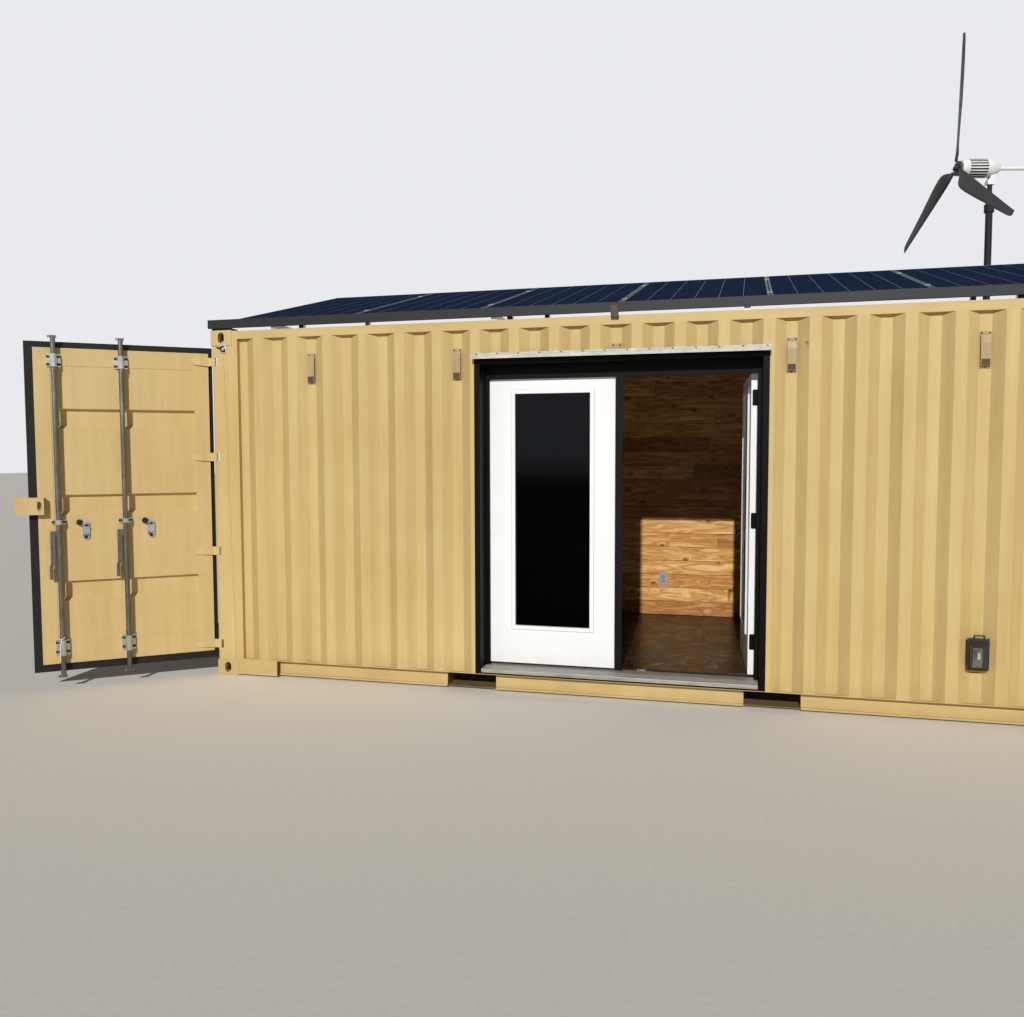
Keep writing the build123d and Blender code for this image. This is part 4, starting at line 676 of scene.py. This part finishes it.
def pine(name, along):
    """Pine whose grain runs along one axis, "X" or "Y". Each board carries its tone and its
    own shift of the pattern in the colour attribute "board". Rings are about 50 mm wide and
    bend round knots that lie about 330 mm apart. The fibre of 1 mm is drawn at 5 to show."""
    material, tree, place = start_material(name)
    board = add(tree, "Attribute", attribute_name="board").outputs["Color"]
    parts = add(tree, "SeparateColor", {0: board}).outputs
    shift = add(tree, "CombineXYZ", {0: parts[1], 1: parts[1], 2: parts[1]})
    moved = add(tree, "VectorMath", {0: shift, 1: (37.0, 37.0, 37.0), 2: place},
                operation="MULTIPLY_ADD")
    whole = add(tree, "VectorMath", {0: moved, 1: (1.0, 1.0, 1.0)}, operation="DOT_PRODUCT")
    length = add(tree, "SeparateXYZ", {0: moved}).outputs[along]
    width = calc(tree, "SUBTRACT", whole.outputs["Value"], length)
    plank = add(tree, "CombineXYZ", {0: length, 1: width})
    long_cells = add(tree, "Mapping", {"Vector": plank,
                                       "Scale": per_metre(333.33, 181.82, 1000)})
    cells = add(tree, "TexVoronoi", {"Vector": long_cells, "Scale": 1.0},
                voronoi_dimensions="2D")
    near = cells.outputs["Distance"]
    swirl = ramp(tree, near, (0.0, 1.0), (0.22, 0.0))
    grain = add(tree, "Mapping", {"Vector": plank, "Scale": per_metre(390.63, 48.077, 625)})
    grain = add(tree, "VectorMath", {0: swirl, 1: (0.0, 1.92, 0.0), 2: grain},
                operation="MULTIPLY_ADD")
    rings = noise(tree, grain, 1000, 2, 0.5, 1.3)
    bands = calc(tree, "MULTIPLY", rings, 4.5)
    bands = calc(tree, "PINGPONG", bands, 1.0)
    fibre = noise(tree, plank, (40, 5, 200), 3, 0.6)
    tone = add(tree, "Mix", {0: 0.45, 2: bands, 3: fibre})
    colour = ramp(tree, tone, (0.12, "A67A46"), (0.38, "D6A86E"), (0.62, "E8C28C"),
                  (0.88, "F8E0B6"))
    warm = ramp(tree, parts[0], (0.0, "A27F66"), (0.3, "DDB9A0"), (0.6, "F4DDB8"),
                (1.0, "FFF6E0"))
    colour = tint(tree, 0.8, colour, warm, "MULTIPLY")
    kind = add(tree, "SeparateColor", {0: cells.outputs["Color"]})
    rare = ramp(tree, kind, (0.5, 0.0), (0.6, 0.85))
    ragged = calc(tree, "MULTIPLY_ADD", fibre, 0.12, near)
    knot = ramp(tree, ragged, (0.10, 1.0), (0.19, 0.0))
    knot = calc(tree, "MULTIPLY", knot, rare)
    colour = tint(tree, knot, colour, "74482A")
    raised = bump(tree, tone, 0.15, 0.001)
    gloss = ramp(tree, fibre, (0.3, 0.32), (0.7, 0.46))
    return surface(material, tree, colour, gloss, raised, shine=0.1)


def board_wall(node, along, stack, room_side, material, seed):
    """Boards in the space of a CAD lining. along, stack: axes of a board's length and of
    the rows. room_side: 1 where the room lies towards +, -1 where it lies towards -."""
    low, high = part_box(node)
    thick = 3 - along - stack
    rng = random.Random(seed)
    bm = bmesh.new()
    tone = bm.loops.layers.float_color.new("board")
    back_low, back_high = low.copy(), high.copy()
    front_low, front_high = low.copy(), high.copy()
    if room_side > 0:
        back_high[thick] = low[thick] + BACKING
        front_low[thick] = back_high[thick]
    else:
        back_low[thick] = high[thick] - BACKING
        front_high[thick] = back_low[thick]
    add_block(bm, back_low, back_high)
    rows = max(1, round((high[stack] - low[stack]) / BOARD))
    pitch = (high[stack] - low[stack]) / rows
    for row in range(rows):
        start, lengths = low[along], FIRST_BOARD
        while start < high[along] - 0.001:
            end = min(high[along], start + rng.uniform(*lengths))
            lengths = NEXT_BOARDS
            if high[along] - end < LEAST_OFFCUT:
                end = high[along]
            a, b = front_low.copy(), front_high.copy()
            a[along], b[along] = start + BOARD_GAP / 3, end - BOARD_GAP / 3
            a[stack] = low[stack] + row * pitch + BOARD_GAP / 2
            b[stack] = low[stack] + (row + 1) * pitch - BOARD_GAP / 2
            if room_side < 0:
                a[thick] += rng.uniform(0.0, BOARD_PROUD)
            else:
                b[thick] -= rng.uniform(0.0, BOARD_PROUD)
            known = set(bm.faces)
            add_block(bm, a, b, BOARD_EASE)
            value = (rng.random(), rng.random(), 0.0, 1.0)
            for face in bm.faces:
                if face not in known:
                    for loop in face.loops:
                        loop[tone] = value
            start = end
    made = piece(node + "_boards", bm, "cabin", material, millimetres=False)
    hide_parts(node)


pine_x = pine("varnished_pine_long", "X")
pine_y = pine("varnished_pine_cross", "Y")
board_wall("back_lining", 0, 2, -1, pine_x, 11)
for seed, part in enumerate(("left", "right", "over_door"), 12):
    board_wall("front_lining_" + part, 0, 2, 1, pine_x, seed)
board_wall("end_lining", 1, 2, -1, pine_y, 15)
board_wall("ceiling_lining", 0, 1, -1, pine_x, 16)

# Floor: plywood sheets screwed to the joists, under many coats of dark varnish. It is
# trodden darker and dusty in front of the doorway, and scuffed pale there.
FLOOR_SHEET = 0.61


def dark_floor(name):
    """Varnished plywood whose grain runs along Y, with a thin dark seam between sheets."""
    material, tree, place = start_material(name)
    grain = noise(tree, place, (23.81, 277.8, 333.3), 6, 0.6, 0.8)
    colour = ramp(tree, grain, (0.3, "1E140D"), (0.5, "302115"), (0.7, "412D1C"))
    parts = add(tree, "SeparateXYZ", {0: place}).outputs
    seam = calc(tree, "PINGPONG", parts["X"], FLOOR_SHEET)
    seam = ramp(tree, seam, (0.0, 1.0), (0.003, 0.0))
    colour = tint(tree, seam, colour, "120B07")
    near = ramp(tree, parts["Y"], (0.25, 1.0), (0.95, 0.1))
    trodden = calc(tree, "MULTIPLY", near, 0.6)
    colour = tint(tree, trodden, colour, "130D08")
    scuff = noise(tree, place, 250, 8, 0.8, 0.8)
    pale = ramp(tree, scuff, (0.53, 0.0), (0.61, 0.6))
    pale = calc(tree, "MULTIPLY", pale, near)
    colour = tint(tree, pale, colour, "C6BFB4")
    gloss = ramp(tree, scuff, (0.4, 0.24), (0.7, 0.55))
    raised = bump(tree, grain, 0.10, 0.0008)
    return surface(material, tree, colour, gloss, raised, shine=0.14)


dress(dark_floor("dark_varnished_plywood"), "floor")

# Threshold: an aluminium extrusion screwed down across the doorway. Its anodising is worn to
# a dull pale grey, with fine scratches along it.


def streaked_metal(name, low, high, rough, metallic, grain=(133.33, 6.667, 6.667)):
    """Extruded or rolled metal with lines along its length. The real ones are under 1 mm
    apart and are drawn coarser, so that they show."""
    material, tree, place = start_material(name)
    streak = noise(tree, place, grain, 5, 0.65)
    colour = ramp(tree, streak, (0.3, low), (0.7, high))
    gloss = ramp(tree, streak, (0.3, rough - 0.05), (0.7, rough + 0.12))
    fine = bump(tree, streak, 0.08, 0.0006)
    return surface(material, tree, colour, gloss, fine, metallic=metallic)


dress(streaked_metal("worn_aluminium", "7C7972", "B5B2AA", 0.5, 0.35), "threshold")

# Solar panels: dark blue crystalline cells with silver joints and bus lines under textured
# glass, in black anodised frames on a rack of mill aluminium. Sizes are in metres, and the
# array's front edge is in millimetres.
TILT = math.radians(14.34)
PANEL_W, PANEL_L = 0.976, 1.956
PANEL_PITCH = 0.981
PANEL_COUNT = 6
CELL = 0.1585
CELLS_SIDE, CELLS_FOOT = 0.0125, 0.027
BUS_LINES, BUS_HALF, JOINT_HALF = (0.0, 1 / 6, 3 / 6, 5 / 6, 1.0), 0.0008, 0.0014
ARRAY_Y, ARRAY_Z = -1130.0, 2666.0


def solar_cells(name):
    """Crystals of about 18 mm, and lines measured from the array's corner up its slope."""
    material, tree, place = start_material(name)
    start = spot(-500.0 * PANEL_PITCH * PANEL_COUNT + 2.5, ARRAY_Y, ARRAY_Z)
    local = add(tree, "VectorMath", {0: place, 1: start}, operation="SUBTRACT")
    local = add(tree, "Mapping", {"Vector": local, "Rotation": (-TILT, 0.0, 0.0)})
    parts = add(tree, "SeparateXYZ", {0: local}).outputs
    across = calc(tree, "FLOORED_MODULO", parts["X"], PANEL_PITCH)
    across = calc(tree, "SUBTRACT", across, CELLS_SIDE)
    u = calc(tree, "FLOORED_MODULO", across, CELL)
    upward = calc(tree, "SUBTRACT", parts["Y"], CELLS_FOOT)
    v = calc(tree, "FLOORED_MODULO", upward, CELL)
    crystal = add(tree, "TexVoronoi", {"Vector": place, "Scale": per_metre(18.182)})
    tone = add(tree, "SeparateColor", {0: crystal.outputs["Color"]})
    colour = ramp(tree, tone, (0.0, "182238"), (1.0, "25344F"))
    lines = [(v, centre * CELL, BUS_HALF, "3E4C66") for centre in BUS_LINES]
    lines += [(u, centre, JOINT_HALF, "8F99AA") for centre in (0.0, CELL)]
    for value, centre, half, silver in lines:
        line = calc(tree, "COMPARE", value, centre, half)
        colour = tint(tree, line, colour, silver)
    dust = noise(tree, place, 333.33, 6, 0.7)
    gloss = ramp(tree, dust, (0.35, 0.75), (0.75, 0.9))
    return surface(material, tree, colour, gloss, shine=0.0)


panel_black = streaked_metal("black_anodised_aluminium", "0E0F11", "1C1D20", 0.5, 0.3,
                             (416.67, 5.5556, 5.5556))
mill_aluminium = streaked_metal("mill_aluminium", "9A9C9E", "D2D4D5", 0.34, 1.0)
dress(solar_cells("solar_cells"), "panel_glass")
dress(panel_black, "panel_frames", "fascia_beam")
dress(mill_aluminium, "array_rack")

# Clamps: aluminium blocks with a bolt that hold the panel frames down at every joint, and
# the pale edge of the seal between glass and frame round each panel.
CLAMP_ROWS, CLAMP_HALF_W, CLAMP_HALF_L = (0.36, 1.55), 0.017, 0.02
FRAME_LIP, SEAL = 0.012, 0.003
slope = Matrix.Translation(spot(0.0, ARRAY_Y, ARRAY_Z + 1.2)) @ Matrix.Rotation(TILT, 4, "X")
clamps, edges = bmesh.new(), bmesh.new()
for joint in range(1, PANEL_COUNT):
    x = (joint - PANEL_COUNT / 2) * PANEL_PITCH
    for row in CLAMP_ROWS:
        add_block(clamps, (x - CLAMP_HALF_W, row - CLAMP_HALF_L, -0.003),
                  (x + CLAMP_HALF_W, row + CLAMP_HALF_L, 0.002), 0.001)
        add_rod(clamps, (x, row, 0.002), (x, row, 0.007), 0.006, sides=6)
for panel in range(PANEL_COUNT):
    left = (panel - PANEL_COUNT / 2) * PANEL_PITCH + 0.0025 + FRAME_LIP
    right = left + PANEL_W - 2 * FRAME_LIP
    low, high = FRAME_LIP, PANEL_L - FRAME_LIP
    for a, b in (((left, low), (left + SEAL, high)), ((right - SEAL, low), (right, high)),
                 ((left, low), (right, low + SEAL)), ((left, high - SEAL), (right, high))):
        add_block(edges, (*a, -0.003), (*b, -0.0004))
for bm in (clamps, edges):
    bmesh.ops.transform(bm, matrix=slope, verts=bm.verts)
piece("panel_clamps", clamps, "cabin", mill_aluminium, millimetres=False)
piece("panel_glass_edges", edges, "cabin",
      even_finish("pale_glass_seal", "707886", "8F97A4", 0.6), millimetres=False)

# Outdoor outlet: a black moulded box with a grey-green hinged cover, a pale window in it, a
# hanging loop above and a dark collar against the wall, which a swing of it has scraped.
OUTLET_X = 2224.0
COLLAR_BACK, COLLAR_FRONT = -1222.0, -1232.0
LOOP_BACK, LOOP_FRONT = -1230.0, -1240.0
outlet_black = even_finish("black_outdoor_moulding", "0A0B09", "201F1B", 0.45)
dress(outlet_black, "outdoor_outlet")
cover, collar = bmesh.new(), bmesh.new()
add_block(cover, (OUTLET_X - 42.0, -1279.0, 374.0), (OUTLET_X + 14.0, -1273.0, 492.0), 2.0, 2)
add_block(cover, (OUTLET_X - 49.0, -1262.0, 372.0), (OUTLET_X - 45.0, -1242.0, 505.0), 1.5)
add_block(collar, (OUTLET_X - 62.0, COLLAR_FRONT, 346.0),
          (OUTLET_X + 62.0, COLLAR_BACK, 545.0), 4.0, 2)
add_block(collar, (OUTLET_X - 30.0, LOOP_FRONT, 557.0),
          (OUTLET_X + 34.0, LOOP_BACK, 566.0), 3.0, 2)
for x in (OUTLET_X - 30.0, OUTLET_X + 25.0):
    add_block(collar, (x, LOOP_FRONT, 540.0), (x + 9.0, LOOP_BACK, 560.0), 2.0)
piece("outdoor_outlet_cover", cover, "cabin",
      even_finish("grey_green_cover", "34362F", "6C6E62", 0.4))
piece("outdoor_outlet_collar", collar, "cabin", outlet_black)
pane = bmesh.new()
add_block(pane, (OUTLET_X - 16.0, -1281.0, 424.0), (OUTLET_X + 2.0, -1278.5, 466.0), 1.0)
piece("outdoor_outlet_pane", pane, "cabin",
      even_finish("pale_cover_window", "8E9188", "B9BBB3", 0.25))
scrape = bmesh.new()
add_block(scrape, (OUTLET_X - 52.0, -1177.8, 318.0), (OUTLET_X + 20.0, -1176.8, 322.0), 0.3)
piece("wall_scrape", scrape, "cabin", dark_shade_and_scrape)

# Indoor outlet: a steel-grey moulded plate screwed over the back wall's boards, with two
# round sockets a shade darker.
SOCKET_X, SOCKET_ZS = 112.0, (492.0, 530.0)
dress(even_finish("grey_outlet_plate", "8B919B", "9EA4AE", 0.4), "room_outlet")
sockets = bmesh.new()
for z in SOCKET_ZS:
    add_rod(sockets, (SOCKET_X, 1126.5, z), (SOCKET_X, 1123.5, z), 17.0, 16.0, 24)
piece("room_outlet_sockets", sockets, "cabin",
      even_finish("grey_sockets", "747A84", "868C96", 0.45))

# Turbine: white gel-coated shell and tail boom, and a dark-painted steel mast and hub,
# bolted together. The head is turned away from the mast's own axes.
HUB = Vector((2827.0, 1460.0, 4095.0))
HUB_AHEAD = 287.0
HEAD_TURN = math.radians(194.7)


def turn_head(bm):
    """From pointing along +X at the mast's middle to where the head is turned to."""
    bmesh.ops.rotate(bm, verts=bm.verts, cent=HUB, matrix=Matrix.Rotation(HEAD_TURN, 3, "Z"))


shell_white = even_finish("white_gel_coat", "E4E4E1", "FAFAF8", 0.34)
dress(shell_white, "nacelle", "tail")
dress(even_finish("black_hub_steel", "101113", "24262A", 0.4), "rotor_hub")
dress(black_paint("dark_mast_enamel", base="2B2D2F", dust="55554F", rough=0.45), "mast")

# Blades: three smooth twisted foils, moulded in matt black glass-filled nylon and bolted to
# the hub, set so that they meet the wind with their thin edge. FOIL is the section, in
# parts of chord and thickness. STATIONS are reach, chord, thickness and twist along it.
ROTOR_TURN = 4.2
ROTOR_AHEAD = HUB_AHEAD + 7.0
BLADE_ROOT = 27.0
FOIL = ((0.0, 0.0), (0.03, 0.24), (0.08, 0.38), (0.18, 0.47), (0.3, 0.5), (0.48, 0.45),
        (0.65, 0.35), (0.83, 0.2), (1.0, 0.03), (0.83, -0.16), (0.65, -0.3), (0.48, -0.4),
        (0.3, -0.45), (0.18, -0.42), (0.08, -0.34), (0.03, -0.2))
STATIONS = ((60, 50, 13, 0), (84, 54, 13, 0), (108, 72, 13, 6), (130, 90, 13, 12),
            (155, 106, 13, 16), (190, 118, 13, 18), (240, 124, 12, 18), (320, 122, 12, 17),
            (420, 116, 11, 15), (530, 107, 10, 12), (640, 97, 9, 10), (760, 88, 8, 8),
            (880, 78, 7, 6), (1000, 66, 6, 4), (1050, 59, 5, 4), (1080, 51, 5, 3),
            (1094, 38, 4, 3), (1099.5, 24, 3, 3))


def foil_place(reach, chord, thick, twist):
    """Where the section lies at one station of an upright blade, measured from HUB."""
    turn = Matrix.Rotation(math.radians(-twist), 4, "Z")
    return (Matrix.Translation((ROTOR_AHEAD, 0.0, reach)) @ turn
            @ Matrix.Translation((0.0, -BLADE_ROOT, 0.0))
            @ Matrix.Diagonal((thick, chord, 1.0, 1.0)))


rotor = bmesh.new()
ring = [rotor.verts.new((across, along, 0.0)) for along, across in FOIL]
edges = [rotor.edges.new((ring[k], ring[k - 1])) for k in range(len(ring))]
place = foil_place(*STATIONS[0])
bmesh.ops.transform(rotor, matrix=place, verts=ring)
for station in STATIONS[1:]:
    grown = bmesh.ops.extrude_edge_only(rotor, edges=edges)["geom"]
    ring = [part for part in grown if isinstance(part, bmesh.types.BMVert)]
    edges = [part for part in grown
             if isinstance(part, bmesh.types.BMEdge) and part.is_boundary]
    step = foil_place(*station) @ place.inverted()
    bmesh.ops.transform(rotor, matrix=step, verts=ring)
    place = foil_place(*station)
bmesh.ops.holes_fill(rotor, edges=[edge for edge in rotor.edges if edge.is_boundary])
bmesh.ops.recalc_face_normals(rotor, faces=rotor.faces)
bmesh.ops.rotate(rotor, verts=rotor.verts, cent=(0, 0, 0),
                 matrix=Matrix.Rotation(math.radians(-ROTOR_TURN), 3, "X"))
bmesh.ops.spin(rotor, geom=rotor.verts[:] + rotor.edges[:] + rotor.faces[:], cent=(0, 0, 0),
               axis=(1, 0, 0), angle=math.radians(240), steps=2, use_duplicate=True)
bmesh.ops.translate(rotor, verts=rotor.verts, vec=HUB)
turn_head(rotor)
made = piece("rotor_blades", rotor, "rotor",
             even_finish("black_glass_nylon", "08090B", "15171A", 0.45), True)
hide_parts("turbine_blades")

# Spinner cap and cooling slots: the hub's cone ends in a white plastic cap pressed into it.
# Dark blocks filling the slots round the moulded shell are painted shade, standing for the
# slots' dark depth.
SLOT_COUNT = 20
SLOT_START, SLOT_LENGTH, SLOT_HALF = 84.0, 152.0, 6.6
SHELL_R = 77.0
CAP_START = 36.0
tip = bmesh.new()
nose = HUB + Vector((HUB_AHEAD + CAP_START, 0.0, 0.0))
add_rod(tip, nose, nose + Vector((5.0, 0.0, 0.0)), 8.5, 6.0)
turn_head(tip)
piece("spinner_tip", tip, "rotor", shell_white)
# Painted shade: a dark block fills each slot up to just above the shell's face.
slots = bmesh.new()
front = HUB + Vector((HUB_AHEAD - SLOT_START, 0.0, 0.0))
add_block(slots, front + Vector((-SLOT_LENGTH, -SLOT_HALF, SHELL_R - 7.0)),
          front + Vector((0.0, SLOT_HALF, SHELL_R + 0.4)))
bmesh.ops.spin(slots, geom=slots.verts[:] + slots.edges[:] + slots.faces[:], cent=HUB,
               axis=(1, 0, 0), angle=math.radians(360 * (SLOT_COUNT - 1) / SLOT_COUNT),
               steps=SLOT_COUNT - 1, use_duplicate=True)
turn_head(slots)
piece("nacelle_slot_shade", slots, "turbine_head",
      even_finish("painted_slot_shade", "1A1B1C", "2C2D2E", 0.7))
